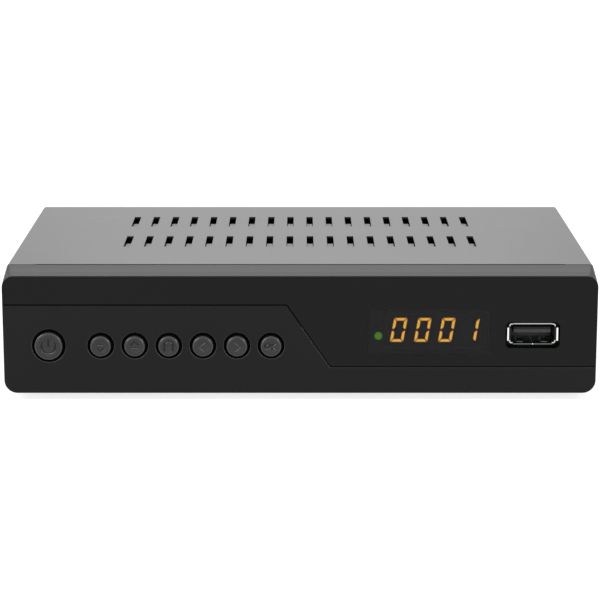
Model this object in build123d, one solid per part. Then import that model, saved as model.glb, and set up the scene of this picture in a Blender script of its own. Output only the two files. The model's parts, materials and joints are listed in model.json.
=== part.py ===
from build123d import *
import os
from math import cos, radians, sin, tan

# Satellite television receiver: a folded steel case with a lanced vent cover, a moulded front
# with an inlaid smoked lens, seven push buttons, and the boards and sockets inside.
# Millimetres. X is the viewer's right, the front faces -Y and Z is up. The origin is on the
# table, under the middle of the whole object.

# ---------------------------------------------------------------------------- case sizes
PANEL_WIDTH = 168.0  # front panel, at its face
PANEL_HEIGHT = 34.0
PANEL_LIFT = 2.0  # panel's lower edge above the table
PANEL_TOP_RADIUS = 3.3
PANEL_BOTTOM_RADIUS = 3.7
PANEL_EDGE_RADIUS = 0.15
PANEL_FLARE = 1.0  # panel stands out past the cover's side walls
CASE_DEPTH = 95.0  # panel face to the back of the rear panel
SHOULDER_DEPTH = 4.2  # sloped band between the panel face and the cover
SHOULDER_RISE = 2.5  # cover's top above the panel's top edge
SHOULDER_CROWN = 0.12  # band's swell above a flat slope
COVER_STEP = 0.1  # cover's top above the rear edge of the band
COVER_SHEET = 0.6
COVER_BEND = 1.0
COVER_SIDE_LIFT = 0.5  # cover's side walls end this far above the tray's underside
RELIEF_WIDTH = 150.0  # cover's front edge stands back along the band, except at its ends
RELIEF_DEPTH = 0.35
JOINT_GAP = 0.15  # seams seen from outside
TRAY_SHEET = 0.8
TRAY_BEND = 1.2
TRAY_FLANGE_HEIGHT = 12.0
TRAY_RIM_DEPTH = 8.0  # flange folded forward at the top of the rear panel
LAP_GAP = 0.1  # between sheets and walls that lie on each other
CLOSE_FIT = 0.03  # between a screw's shank and its thread hole, and round other tight pieces

# ---------------------------------------------------------------------------- vents
VENT_COUNT = 18  # slots in each row of the cover
VENT_PITCH = 6.0
VENT_WIDTH = 2.0
VENT_LENGTH = 15.8
VENT_ROWS = (37.8, 69.3)  # row centres behind the panel face
TONGUE_LENGTH = 9.3  # lanced strip left in the slot, hinged at the slot's front end
TONGUE_RAMP = 2.5
TONGUE_DROP = 1.0
TONGUE_GAP = 0.15  # shear gap along each side of the strip
TONGUE_ROOT = 0.5  # strip's overlap with the sheet that carries it
SIDE_VENT_COUNT = 9
SIDE_VENT_HEIGHT = 11.0
SIDE_VENT_MIDDLE = 24.0  # height of the middle of the side slots
FLOOR_VENT_COUNT = 12
FLOOR_VENT_ROWS = (38.0, 58.0)

# ---------------------------------------------------------------------------- front panel
LENS_THICKNESS = 1.2
LENS_FIT = 0.07  # around the lens where it meets the rim
LENS_RIM = 0.5  # width of the bezel's rim around the lens
LENS_BED = 0.1  # adhesive behind the lens
GROOVE_WIDTH = 0.36  # open groove along the lens's lower edge
GROOVE_CHAMFER = 0.15  # on the bezel's side of the groove
DIVIDE_HIGH = 25.7  # lens's lower edge above the panel's lower edge, on the left
DIVIDE_LOW = 7.7  # the same on the right
DIVIDE_KEY_GAP = 4.5  # last key's middle to where the edge turns down
DIVIDE_RUN = 12.3  # from there to where it turns level again
DIVIDE_RADIUS = 0.8
BEZEL_WALL = 2.4  # front wall, with the lens pocket in it
SKIRT_WALL = 1.8
SKIRT_LENGTH = 5.0  # wall that tucks inside the cover and the tray
WINDOW_WIDTH = 33.9
WINDOW_HEIGHT = 11.4
WINDOW_SHIFT = -1.7  # window's middle to the side of the display's
WINDOW_Z = 17.9  # above the panel's lower edge, as all heights of the front panel
CATCH_COUNT = 3  # hooks under the skirt that drop into the tray
CATCH_PITCH = 50.0
CATCH_WIDTH = 8.0
CATCH_DEPTH = 2.4
CATCH_FIT = 0.2

# ---------------------------------------------------------------------------- buttons
BUTTON_HEIGHT = 13.9
POWER_INSET = 12.9  # power button's middle, inside the panel's left end
POWER_RADIUS = 3.94
KEY_COUNT = 6
KEY_OFFSET = 14.7  # power button's middle to the first key's
KEY_PITCH = 9.64
KEY_RADIUS = 2.95
BUTTON_PROUD = 1.3
BUTTON_TRAVEL = 0.5
BUTTON_GAP = 0.78  # ring between the cap and its hole
BUTTON_EDGE_RADIUS = 0.5
BUTTON_DISH = 0.16  # hollow of the cap's face
HOLE_EDGE_RADIUS = 0.25
FLANGE_OVERLAP = 0.6  # collar behind the wall, that keeps the cap in
FLANGE_THICKNESS = 0.8
FLANGE_REST = 0.15  # collar's distance behind the wall at rest
GUIDE_GAP = 0.15
GUIDE_WALL = 1.2
GUIDE_DEPTH = 2.2
STEM_RADIUS = 1.4
SWITCH_SIZE = 6.0
SWITCH_CORNER = 0.5
SWITCH_BODY_HEIGHT = 3.5
SWITCH_HEIGHT = 5.0  # board to the tip of the plunger
PLUNGER_RADIUS = 1.75
PLUNGER_FIT = 0.1
PLUNGER_DEPTH = 1.7  # length inside the switch
PLUNGER_END_GAP = 0.1

# ---------------------------------------------------------------------------- front board
BOARD_THICKNESS = 1.6
FRONT_BOARD_DEPTH = 10.5  # panel face to the board's face
FRONT_BOARD_SIDE_GAP = 1.2  # board's end to the inside of the skirt, seen from the front
FRONT_BOARD_LOW_GAP = 1.5  # board's lower edge above the tray's floor
FRONT_BOARD_TOP_GAP = 4.8  # board's upper edge below the skirt's top
BOSS_RADIUS = 2.5
BOSS_SIDE_INSET = 14.4  # boss centre inside the board's ends
BOSS_INSET = 4.0  # boss centre inside the board's upper and lower edges
BOSS_SCREW_RADIUS = 1.05
BOSS_SCREW_LENGTH = 6.0
BOSS_SCREW_HEAD_RADIUS = 2.2
BOSS_SCREW_HEAD_HEIGHT = 1.5
BOARD_HOLE_GAP = 0.35

# ---------------------------------------------------------------------------- display
DIGIT_COUNT = 4
DIGIT_PITCH = 6.84
DIGIT_HEIGHT = 7.08
DIGIT_WIDTH = 3.9  # before the slant
DIGIT_SLANT = 10.0  # degrees
SEGMENT_WIDTH = 0.88
SEGMENT_GAP = 0.2  # between the points of two segments
SEGMENT_DEPTH = 0.3
SEGMENT_FIT = 0.03
DISPLAY_INSET = 45.7  # display's middle, inside the panel's right end
DISPLAY_Z = 17.7
DISPLAY_MARGIN = 0.45  # beside the digits' cells
DISPLAY_HEIGHT = 10.0
DISPLAY_DEPTH = 7.2
SHOWN_DIGITS = (0, 0, 0, 1)
DIGIT_SEGMENTS = {0: "abcdef", 1: "bc"}  # a is the top, then clockwise, and g is the middle
LED_SHIFT = -16.0  # from the display's middle
LED_Z = 15.8
LED_RADIUS = 1.25
LED_HEIGHT = 7.4  # board to the tip
LED_SPACER_HEIGHT = 3.0
LED_SPACER_RADIUS = 1.6
LED_RIM = 0.8
RECEIVER_SHIFT = -8.8  # from the USB socket's middle
RECEIVER_Z = 26.9
RECEIVER_WIDTH = 6.0
RECEIVER_TALL = 7.0
RECEIVER_HEIGHT = 5.2
RECEIVER_DOME_RADIUS = 1.9
RECEIVER_HOLE_GAP = 0.7
RECEIVER_CROWN = 1.3
RECEIVER_BEVEL = 0.8

# ---------------------------------------------------------------------------- USB socket
USB_INSET = 18.2  # socket's middle, inside the panel's right end
USB_Z = 17.2
USB_RECESS = 0.1  # mouth behind the panel face
USB_INNER_WIDTH = 12.5
USB_INNER_HEIGHT = 5.12
USB_SHEET = 0.3
USB_LIP_LENGTH = 1.0
USB_LIP_BEND = 0.8  # depth at which the upper and lower lips open on the inside
USB_SIDE_LIP_BEND = 0.4  # the same of the side lips
USB_SIDE_LIP_FLARE = 0.62
USB_TOP_LIP_FLARE = 0.35
USB_BOTTOM_LIP_FLARE = 0.1
USB_LIP_WIDTH = 11.0
USB_LIP_HEIGHT = 3.8
USB_TONGUE_WIDTH = 10.7
USB_TONGUE_THICKNESS = 1.84
USB_TONGUE_HEADROOM = 0.66
USB_TONGUE_RECESS = 1.6
USB_TONGUE_CHAMFER = 0.25
USB_BASE_THICKNESS = 1.6
USB_CONTACT_WIDTH = 1.0
USB_CONTACT_THICKNESS = 0.2
USB_CONTACT_RECESS = 0.8
USB_CONTACT_X = (-3.5, -1.0, 1.0, 3.5)
USB_SPRING_X = 3.4
USB_SPRING_WIDTH = 1.7
USB_SPRING_LENGTH = 4.5
USB_SPRING_DIP = 0.75
USB_SPRING_START = 0.8  # from the lips' rear edge to the finger's tip
USB_SPRING_NOSE = 1.2  # from the tip to the highest bend
USB_CUTOUT_WIDTH = 15.4
USB_CUTOUT_HEIGHT = 7.5
USB_CUTOUT_DROP = 0.3  # opening's middle below the socket's
USB_CUTOUT_CORNER = 0.9

# ---------------------------------------------------------------------------- main board
STANDOFF_HEIGHT = 5.0
STANDOFF_RADIUS = 3.0
SCREW_TIP_GAP = 2.0  # between the cover screws' tips and the main board
MAIN_BOARD_START = 1.9  # behind the front board's rear face
MAIN_BOARD_END_GAP = 0.4  # before the rear panel
MAIN_SCREW_SIDE_INSET = 6.0
MAIN_SCREW_INSET = 5.0  # front pair, behind the board's front edge
REAR_SCREW_INSET = 22.0  # rear pair, before the rear panel
REAR_SCREW_GAP = 4.6  # right one, beside the AV socket's housing
MAIN_SCREW_RADIUS = 1.25
MAIN_SCREW_HEAD_RADIUS = 2.7
MAIN_SCREW_HEAD_HEIGHT = 1.8
HEADER_PINS = 12
HEADER_PITCH = 2.54
HEADER_PIN = 0.64
HEADER_X = 15.0
HEADER_BODY = 2.5
HEADER_REACH = 0.6  # pin ends past the boards
HEADER_HOLE_GAP = 0.12  # around each pin in the boards
CHIP_X = -5.0
CHIP_DEPTH = 41.0  # behind the panel face
CHIP_SIZE = 19.0
CHIP_HEIGHT = 1.4
CHIP_CHAMFER = 0.2
SINK_SIZE = 34.0
SINK_BASE = 2.0
SINK_HEIGHT = 13.0
SINK_FINS = 9
SINK_FIN = 1.2
# Width, length and height, then X and depth behind the panel face, of each memory chip.
MEMORY_CHIPS = ((13.0, 9.0, 1.1, -34.0, 35.0), (9.0, 8.0, 1.3, -34.0, 47.0))
CRYSTAL_LENGTH = 11.0
CRYSTAL_WIDTH = 4.6
CRYSTAL_HEIGHT = 3.6
CRYSTAL_CHAMFER = 0.3
CRYSTAL_X = 20.0
CRYSTAL_DEPTH = 30.0
# Radius, height, X and depth behind the panel face of each capacitor.
CAPACITORS = (
    (5.0, 16.0, -63.0, 35.0),
    (4.0, 11.5, -63.0, 47.0),
    (4.0, 11.5, -63.0, 57.0),
    (3.15, 11.0, -50.0, 57.0),
    (3.15, 7.0, 26.0, 42.0),
    (3.15, 7.0, 26.0, 52.0),
)
# The same of each power inductor, with its side length for the radius.
INDUCTORS = ((8.0, 4.2, -50.0, 34.0), (6.0, 3.2, -50.0, 45.0), (8.0, 4.2, 50.0, 34.0))
INDUCTOR_GROOVE = 0.5

# ---------------------------------------------------------------------------- rear sockets
TUNER_INSET = 25.0  # tuner's middle, inside the case's right side
TUNER_WIDTH = 32.0
TUNER_DEPTH = 36.0
TUNER_HEIGHT = 13.4
TUNER_BEVEL = 0.4
TUNER_HOLE_RADIUS = 1.6
TUNER_HOLE_DEPTH = 0.6
LNB_RISE = 7.0  # thread's axis above the board
LNB_RADIUS = 4.7625
LNB_RELIEF = 0.5  # barrel's step down to the thread's root, under the nut
LNB_REACH = 11.0  # past the rear panel
LNB_BORE_RADIUS = 3.0
LNB_CONTACT_RADIUS = 0.6
LNB_NUT_WIDTH = 12.0  # across flats
LNB_NUT_THICKNESS = 2.2
LNB_CHAMFER = 0.5
LNB_INSULATOR_RECESS = 0.6
LNB_CONTACT_DEPTH = 5.4
AV_TUNER_GAP = 2.0  # AV socket's housing to the tuner
AV_RISE = 8.0
AV_WIDTH = 47.5
AV_HEIGHT = 13.0
AV_SLANT = 4.0
AV_CORNER = 1.2
AV_HOUSING_MARGIN = 1.4
AV_HOUSING_DEPTH = 20.0
AV_PROUD = 1.0
AV_WALL = 1.2
AV_CHANNEL = 1.4  # channel around the core, for the plug's skirt
AV_SOCKET_DEPTH = 9.0
AV_SLOTS = 10  # in each of two rows
AV_SLOT_PITCH = 3.81
AV_SLOT_WIDTH = 0.9
AV_SLOT_HEIGHT = 3.2
AV_ROW_RISE = 2.4
AV_CONTACT = 0.4
AV_BLADE_GAP = 0.6
AV_BLADE_RECESS = 1.5
VIDEO_INSET = 46.0  # port's middle, inside the case's left side
VIDEO_WIDTH = 15.2
VIDEO_HEIGHT = 5.7
VIDEO_CORNER = 2.0
VIDEO_SHEET = 0.35
VIDEO_PROUD = 0.6
VIDEO_DEPTH = 11.5
VIDEO_TONGUE_WIDTH = 11.6
VIDEO_TONGUE_THICKNESS = 1.5
VIDEO_TONGUE_RECESS = 1.2
VIDEO_BASE_THICKNESS = 2.5
COAX_INSET = 30.0
COAX_RISE = 7.5
COAX_RADIUS = 4.15
COAX_WALL = 0.55
COAX_REACH = 9.5
COAX_PIN_RADIUS = 1.65
COAX_PIN_DEPTH = 7.0
COAX_CHAMFER = 0.4
COAX_BODY_WIDTH = 11.0
COAX_BODY_DEPTH = 12.0
COAX_COLLAR_RADIUS = 5.0
COAX_COLLAR_PROUD = 1.0
POWER_JACK_INSET = 16.0
POWER_JACK_RISE = 6.5
POWER_JACK_WIDTH = 9.0
POWER_JACK_DEPTH = 13.5
POWER_JACK_NOSE_RADIUS = 4.0
POWER_JACK_PROUD = 0.4
POWER_JACK_BORE_RADIUS = 3.1
POWER_JACK_BORE_DEPTH = 9.5
POWER_JACK_PIN_RADIUS = 1.0
POWER_JACK_PIN_RECESS = 1.0
PANEL_HOLE_GAP = 0.3  # around each socket in the rear panel

# ---------------------------------------------------------------------------- feet, screws
FOOT_HEIGHT = 2.5
FOOT_RADIUS = 6.0
FOOT_CHAMFER = 0.6
FOOT_STEM_RADIUS = 1.95
FOOT_BARB_RADIUS = 2.7
FOOT_BARB_HEIGHT = 1.6
FOOT_FIT = 0.05
FOOT_SIDE_INSET = 23.0  # foot's middle, inside the case's side
FOOT_DEPTHS = (20.0, 82.0)  # behind the panel face
CASE_SCREW_RADIUS = 1.5
CASE_SCREW_HEAD_RADIUS = 2.8
CASE_SCREW_HEAD_HEIGHT = 0.95
CASE_SCREW_LENGTH = 5.0
CASE_SCREW_RISE = 6.5  # above the tray's underside
CASE_SCREW_DEPTHS = (24.0, 82.0)
CROSS_WIDTH = 0.7
CROSS_DEPTH = 0.9

# ---------------------------------------------------------------------------- frame
CASE_WIDTH = PANEL_WIDTH - 2 * PANEL_FLARE  # over the cover's side walls
FRONT = BUTTON_PROUD - (BUTTON_PROUD + CASE_DEPTH + LNB_REACH) / 2  # panel face
REAR = FRONT + CASE_DEPTH  # outside of the rear panel
REAR_INSIDE = REAR - TRAY_SHEET
JOINT = FRONT + SHOULDER_DEPTH  # rear edge of the band
PANEL_TOP = PANEL_LIFT + PANEL_HEIGHT
COVER_TOP = PANEL_TOP + SHOULDER_RISE
COVER_UNDERSIDE = COVER_TOP - COVER_SHEET
BAND_TOP = COVER_TOP - COVER_STEP
TRAY_LOW = FOOT_HEIGHT
TRAY_TOP = TRAY_LOW + TRAY_SHEET
TRAY_HALF = CASE_WIDTH / 2 - COVER_SHEET - LAP_GAP
SKIRT_HALF = TRAY_HALF - TRAY_SHEET - LAP_GAP
SKIRT_TOP = COVER_UNDERSIDE - LAP_GAP
SKIRT_END = JOINT + SKIRT_LENGTH
WALL_BACK = FRONT + BEZEL_WALL
LENS_BACK = FRONT + LENS_THICKNESS
BUTTON_Z = PANEL_LIFT + BUTTON_HEIGHT
FRONT_BOARD = FRONT + FRONT_BOARD_DEPTH
FRONT_BOARD_BACK = FRONT_BOARD + BOARD_THICKNESS
FRONT_BOARD_HALF = SKIRT_HALF - SKIRT_WALL - FRONT_BOARD_SIDE_GAP
FRONT_BOARD_LOW = TRAY_TOP + FRONT_BOARD_LOW_GAP
FRONT_BOARD_HIGH = SKIRT_TOP - FRONT_BOARD_TOP_GAP
POWER_X = -PANEL_WIDTH / 2 + POWER_INSET
KEY_XS = [POWER_X + KEY_OFFSET + i * KEY_PITCH for i in range(KEY_COUNT)]
DIVIDE_HIGH_X = KEY_XS[-1] + DIVIDE_KEY_GAP
DISPLAY_X = PANEL_WIDTH / 2 - DISPLAY_INSET
WINDOW_X = DISPLAY_X + WINDOW_SHIFT
LED_X = DISPLAY_X + LED_SHIFT
USB_X = PANEL_WIDTH / 2 - USB_INSET
RECEIVER_X = USB_X + RECEIVER_SHIFT
PLUNGER_TIP = FRONT_BOARD - SWITCH_HEIGHT
SWITCH_FACE = FRONT_BOARD - SWITCH_BODY_HEIGHT
BOARD_LOW = TRAY_TOP + STANDOFF_HEIGHT
BOARD_TOP = BOARD_LOW + BOARD_THICKNESS
BOARD_FRONT = FRONT_BOARD_BACK + MAIN_BOARD_START
BOARD_REAR = REAR_INSIDE - MAIN_BOARD_END_GAP
MAIN_BOARD_HALF = CASE_WIDTH / 2 - CASE_SCREW_LENGTH - SCREW_TIP_GAP
FOOT_X = CASE_WIDTH / 2 - FOOT_SIDE_INSET
TUNER_X = CASE_WIDTH / 2 - TUNER_INSET
AV_HOUSING_HALF = AV_WIDTH / 2 + AV_HOUSING_MARGIN
AV_X = TUNER_X - TUNER_WIDTH / 2 - AV_TUNER_GAP - AV_HOUSING_HALF
VIDEO_X = -CASE_WIDTH / 2 + VIDEO_INSET
COAX_X = -CASE_WIDTH / 2 + COAX_INSET
POWER_JACK_X = -CASE_WIDTH / 2 + POWER_JACK_INSET
LNB_Z = BOARD_TOP + LNB_RISE
AV_Z = BOARD_TOP + AV_RISE
VIDEO_Z = BOARD_TOP + VIDEO_HEIGHT / 2
COAX_Z = BOARD_TOP + COAX_RISE
POWER_JACK_Z = BOARD_TOP + POWER_JACK_RISE
USB_MOUTH = FRONT + USB_RECESS
USB_MIDDLE = PANEL_LIFT + USB_Z
HEADER_Z = BOARD_TOP + HEADER_BODY / 2
THROUGH = 5.0  # a cutter's reach past the faces it cuts
PAST = 1.0  # the same where another piece of the node is near
ROUND_TURNS = (0, 30, 60, 90)  # degrees at which a small rounded edge has its facets
BAND_SHARES = (1 / 3, 2 / 3, 1)  # of the band's depth, where its facets end
DISH_SHARES = (0, 0.5)  # of the hollow's radius, inside its rim
BOSS_POINTS = [
    (side * (FRONT_BOARD_HALF - BOSS_SIDE_INSET), z)
    for side in (-1, 1)
    for z in (FRONT_BOARD_LOW + BOSS_INSET, FRONT_BOARD_HIGH - BOSS_INSET)
]
MAIN_SCREW_POINTS = [
    (MAIN_SCREW_SIDE_INSET - MAIN_BOARD_HALF, BOARD_FRONT + MAIN_SCREW_INSET),
    (MAIN_BOARD_HALF - MAIN_SCREW_SIDE_INSET, BOARD_FRONT + MAIN_SCREW_INSET),
    (MAIN_SCREW_SIDE_INSET - MAIN_BOARD_HALF, REAR_INSIDE - REAR_SCREW_INSET),
    (AV_X - AV_HOUSING_HALF - REAR_SCREW_GAP, REAR_INSIDE - REAR_SCREW_INSET),
]
HEADER_XS = [HEADER_X + (i - (HEADER_PINS - 1) / 2) * HEADER_PITCH for i in range(HEADER_PINS)]


# ---------------------------------------------------------------------------- building blocks
def block(x, y, z):
    """Box from its low and high value along each axis."""
    sizes = [high - low for low, high in (x, y, z)]
    middle = [(low + high) / 2 for low, high in (x, y, z)]
    return Pos(*middle) * Box(*sizes)


def upright(y):
    """Plane across the object at y, seen from the front: local x is X and local y is Z."""
    return Plane(origin=(0, y, 0), x_dir=(1, 0, 0), z_dir=(0, -1, 0))


def slab(sketch, y_low, y_high):
    """Upright sketch made solid from y_low back to y_high."""
    return extrude(upright(y_high) * sketch, y_high - y_low)


def outline(points):
    """Face with straight sides."""
    return make_face(Polyline(*points, close=True))


def turned(points, x=0, z=0):
    """Solid turned about an axis along Y, from (radius, y) points."""
    return Pos(x, 0, z) * revolve(outline(points), Axis.Y)


def turned_up(points, x=0, y=0):
    """Solid turned about an upright axis, from (radius, z) points."""
    return Pos(x, y, 0) * revolve(Plane.XZ * outline(points), Axis.Z)


def bar(radius, y_low, y_high, x=0, z=0):
    """Round bar along Y."""
    return turned([(0, y_low), (radius, y_low), (radius, y_high), (0, y_high)], x, z)


def post(radius, z_low, z_high, x=0, y=0):
    """Round bar along Z."""
    return turned_up([(0, z_low), (radius, z_low), (radius, z_high), (0, z_high)], x, y)


def rounded_panel(width, low, high, top_radius, bottom_radius):
    """Upright rectangle with its own radius at the top and the bottom corners."""
    panel = Pos(0, (low + high) / 2) * Rectangle(width, high - low)
    panel = fillet(panel.vertices().group_by(Axis.Y)[-1], top_radius)
    return fillet(panel.vertices().group_by(Axis.Y)[0], bottom_radius)


def spread(count, pitch, middle=0.0):
    """Places of a centred row."""
    return [middle + (i - (count - 1) / 2) * pitch for i in range(count)]


def pan_screw(head_radius, head_height, shank_radius, length):
    """Screw that points down from a domed head, which rests on z = 0."""
    rim = head_height * 0.45
    profile = [
        (0, -length),
        (shank_radius * 0.6, -length),
        (shank_radius, -length + shank_radius * 0.5),
        (shank_radius, 0),
        (head_radius, 0),
        (head_radius, rim),
        (head_radius * 0.75, head_height * 0.88),
        (0, head_height),
    ]
    return turned_up(profile)


def domed_bar(radius, y_tip, y_base, crown):
    """Round bar along Y with a faceted dome at its front end."""
    dome = [
        (radius * sin(radians(turn)), y_tip + crown * (1 - cos(radians(turn))))
        for turn in ROUND_TURNS
    ]
    return turned(dome + [(radius, y_base), (0, y_base)])


# ---------------------------------------------------------------------------- cover
def vent_tongue(x, slot_front):
    """Strip sheared free on both sides of its slot and pushed down, still joined in front."""
    low = -COVER_SHEET
    profile = outline(
        [
            (-TONGUE_ROOT, 0),
            (0, 0),
            (TONGUE_RAMP, -TONGUE_DROP),
            (TONGUE_LENGTH, -TONGUE_DROP),
            (TONGUE_LENGTH, low - TONGUE_DROP),
            (TONGUE_RAMP, low - TONGUE_DROP),
            (0, low),
            (-TONGUE_ROOT, low),
        ]
    )
    width = VENT_WIDTH - 2 * TONGUE_GAP
    strip = extrude(Plane.YZ.offset(-width / 2) * profile, width)
    return Pos(x, slot_front, COVER_TOP) * strip


def make_top_cover():
    """U of thin sheet with two rows of lanced vents on top and plain slots in the sides."""
    low = TRAY_LOW + COVER_SIDE_LIFT
    front = JOINT + JOINT_GAP
    outer = Pos(0, (low + COVER_TOP) / 2) * Rectangle(CASE_WIDTH, COVER_TOP - low)
    outer = fillet(outer.vertices().group_by(Axis.Y)[-1], COVER_BEND)
    inner_low = low - THROUGH
    inner = Pos(0, (inner_low + COVER_UNDERSIDE) / 2) * Rectangle(
        CASE_WIDTH - 2 * COVER_SHEET, COVER_UNDERSIDE - inner_low
    )
    inner = fillet(inner.vertices().group_by(Axis.Y)[-1], COVER_BEND - COVER_SHEET)
    cover = slab(outer - inner, front, REAR)
    cover -= block(
        (-RELIEF_WIDTH / 2, RELIEF_WIDTH / 2),
        (front - THROUGH, front + RELIEF_DEPTH),
        (COVER_UNDERSIDE - LAP_GAP, COVER_TOP + THROUGH),
    )
    slots = []
    tongues = []
    for depth in VENT_ROWS:
        slot_front = FRONT + depth - VENT_LENGTH / 2
        for x in spread(VENT_COUNT, VENT_PITCH):
            slots.append(
                block(
                    (x - VENT_WIDTH / 2, x + VENT_WIDTH / 2),
                    (slot_front, slot_front + VENT_LENGTH),
                    (COVER_UNDERSIDE - THROUGH, COVER_TOP + THROUGH),
                )
            )
            tongues.append(vent_tongue(x, slot_front))
    half = CASE_WIDTH / 2
    for y in spread(SIDE_VENT_COUNT, VENT_PITCH, (JOINT + REAR) / 2):
        slots.append(
            block(
                (-half - THROUGH, half + THROUGH),
                (y - VENT_WIDTH / 2, y + VENT_WIDTH / 2),
                (SIDE_VENT_MIDDLE - SIDE_VENT_HEIGHT / 2, SIDE_VENT_MIDDLE + SIDE_VENT_HEIGHT / 2),
            )
        )
    hole = CASE_SCREW_RADIUS + PANEL_HOLE_GAP
    for depth in CASE_SCREW_DEPTHS:
        axis = Pos(0, FRONT + depth, TRAY_LOW + CASE_SCREW_RISE) * Rot(0, 90, 0)
        slots.append(axis * Cylinder(hole, CASE_WIDTH + 2 * THROUGH))
    return cover - slots + tongues


# ---------------------------------------------------------------------------- tray
def make_base_tray():
    """Folded floor, side flanges and rear panel, with the board's standoffs."""
    front = JOINT + JOINT_GAP
    rim = COVER_UNDERSIDE - LAP_GAP
    outer = block((-TRAY_HALF, TRAY_HALF), (front, REAR), (TRAY_LOW, rim))
    bends = outer.faces().sort_by(Axis.Z)[0].edges().filter_by(Axis.Y)
    bends += outer.faces().sort_by(Axis.Z)[0].edges().sort_by(Axis.Y)[-1:]
    outer = fillet(bends, TRAY_BEND)
    inner = block(
        (-TRAY_HALF + TRAY_SHEET, TRAY_HALF - TRAY_SHEET),
        (front - THROUGH, REAR_INSIDE),
        (TRAY_TOP, rim + THROUGH),
    )
    inner_bends = inner.faces().sort_by(Axis.Z)[0].edges().filter_by(Axis.Y)
    inner_bends += inner.faces().sort_by(Axis.Z)[0].edges().sort_by(Axis.Y)[-1:]
    inner = fillet(inner_bends, TRAY_BEND - TRAY_SHEET)
    tray = fillet(outer.edges().filter_by(Axis.Y).group_by(Axis.Z)[-1], COVER_BEND) - inner
    tray -= block(
        (-TRAY_HALF - THROUGH, TRAY_HALF + THROUGH),
        (front - THROUGH, REAR_INSIDE),
        (TRAY_LOW + TRAY_FLANGE_HEIGHT, rim + THROUGH),
    )
    tray += block(
        (-TRAY_HALF + TRAY_BEND, TRAY_HALF - TRAY_BEND),
        (REAR - TRAY_RIM_DEPTH, REAR),
        (rim - TRAY_SHEET, rim),
    )
    tray += [post(STANDOFF_RADIUS, TRAY_TOP, BOARD_LOW, x, y) for x, y in MAIN_SCREW_POINTS]
    cutters = [
        post(MAIN_SCREW_RADIUS, TRAY_LOW - THROUGH, BOARD_LOW + THROUGH, x, y)
        for x, y in MAIN_SCREW_POINTS
    ]
    for depth in FOOT_DEPTHS:
        for x in (-FOOT_X, FOOT_X):
            hole = FOOT_STEM_RADIUS + FOOT_FIT
            cutters.append(post(hole, TRAY_LOW - PAST, TRAY_TOP + PAST, x, FRONT + depth))
    for x in spread(CATCH_COUNT, CATCH_PITCH):
        half = CATCH_WIDTH / 2 + CATCH_FIT
        y = SKIRT_END - CATCH_DEPTH
        cutters.append(
            block(
                (x - half, x + half),
                (y - CATCH_FIT, SKIRT_END + CATCH_FIT),
                (TRAY_LOW - PAST, TRAY_TOP + PAST),
            )
        )
    for depth in FLOOR_VENT_ROWS:
        for x in spread(FLOOR_VENT_COUNT, VENT_PITCH):
            middle = FRONT + depth
            cutters.append(
                block(
                    (x - VENT_WIDTH / 2, x + VENT_WIDTH / 2),
                    (middle - VENT_LENGTH / 2, middle + VENT_LENGTH / 2),
                    (TRAY_LOW - PAST, TRAY_TOP + PAST),
                )
            )
    for depth in CASE_SCREW_DEPTHS:
        axis = Pos(0, FRONT + depth, TRAY_LOW + CASE_SCREW_RISE) * Rot(0, 90, 0)
        cutters.append(axis * Cylinder(CASE_SCREW_RADIUS, 2 * TRAY_HALF + 2 * THROUGH))
    openings = [
        Pos(TUNER_X, LNB_Z) * Circle(LNB_RADIUS + PANEL_HOLE_GAP),
        Pos(COAX_X, COAX_Z) * Circle(COAX_COLLAR_RADIUS + PANEL_HOLE_GAP),
        Pos(POWER_JACK_X, POWER_JACK_Z) * Circle(POWER_JACK_NOSE_RADIUS + PANEL_HOLE_GAP),
        offset(av_outline(), PANEL_HOLE_GAP),
        offset(video_outline(), PANEL_HOLE_GAP),
    ]
    cutters += [slab(opening, REAR_INSIDE - PAST, REAR + PAST) for opening in openings]
    return tray - cutters


# ---------------------------------------------------------------------------- bezel and lens
def lens_region(shift):
    """Upright area above the dividing line, with the line moved down by shift."""
    far = PANEL_WIDTH
    region = outline(
        [
            (-far, PANEL_LIFT + DIVIDE_HIGH),
            (DIVIDE_HIGH_X, PANEL_LIFT + DIVIDE_HIGH),
            (DIVIDE_HIGH_X + DIVIDE_RUN, PANEL_LIFT + DIVIDE_LOW),
            (far, PANEL_LIFT + DIVIDE_LOW),
            (far, PANEL_LIFT + far),
            (-far, PANEL_LIFT + far),
        ]
    )
    corners = region.vertices().filter_by(lambda v: abs(v.X) < far / 2)
    region = fillet(corners, DIVIDE_RADIUS)
    return offset(region, shift, kind=Kind.INTERSECTION)


def panel_inset(inset):
    """Panel's outline at the face, moved inwards."""
    return rounded_panel(
        PANEL_WIDTH - 2 * inset,
        PANEL_LIFT + inset,
        PANEL_TOP - inset,
        PANEL_TOP_RADIUS - inset,
        PANEL_BOTTOM_RADIUS - inset,
    )


def usb_cutout():
    """Opening around the USB socket, with cut corners."""
    opening = Pos(USB_X, USB_MIDDLE - USB_CUTOUT_DROP) * Rectangle(
        USB_CUTOUT_WIDTH, USB_CUTOUT_HEIGHT
    )
    return chamfer(opening.vertices(), USB_CUTOUT_CORNER)


def button_hole(x, radius):
    """Cutter for a round-edged hole in the panel and the collar's bore behind it."""
    hole = radius + BUTTON_GAP
    bore = hole + FLANGE_OVERLAP + GUIDE_GAP
    edge = [
        (
            hole + HOLE_EDGE_RADIUS * (1 - sin(radians(turn))),
            FRONT + HOLE_EDGE_RADIUS * (1 - cos(radians(turn))),
        )
        for turn in ROUND_TURNS
    ]
    front = [(0, FRONT - PAST), (hole + HOLE_EDGE_RADIUS, FRONT - PAST)]
    back = [
        (hole, WALL_BACK),
        (bore, WALL_BACK),
        (bore, WALL_BACK + GUIDE_DEPTH + PAST),
        (0, WALL_BACK + GUIDE_DEPTH + PAST),
    ]
    return turned(front + edge + back, x, BUTTON_Z)


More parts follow.
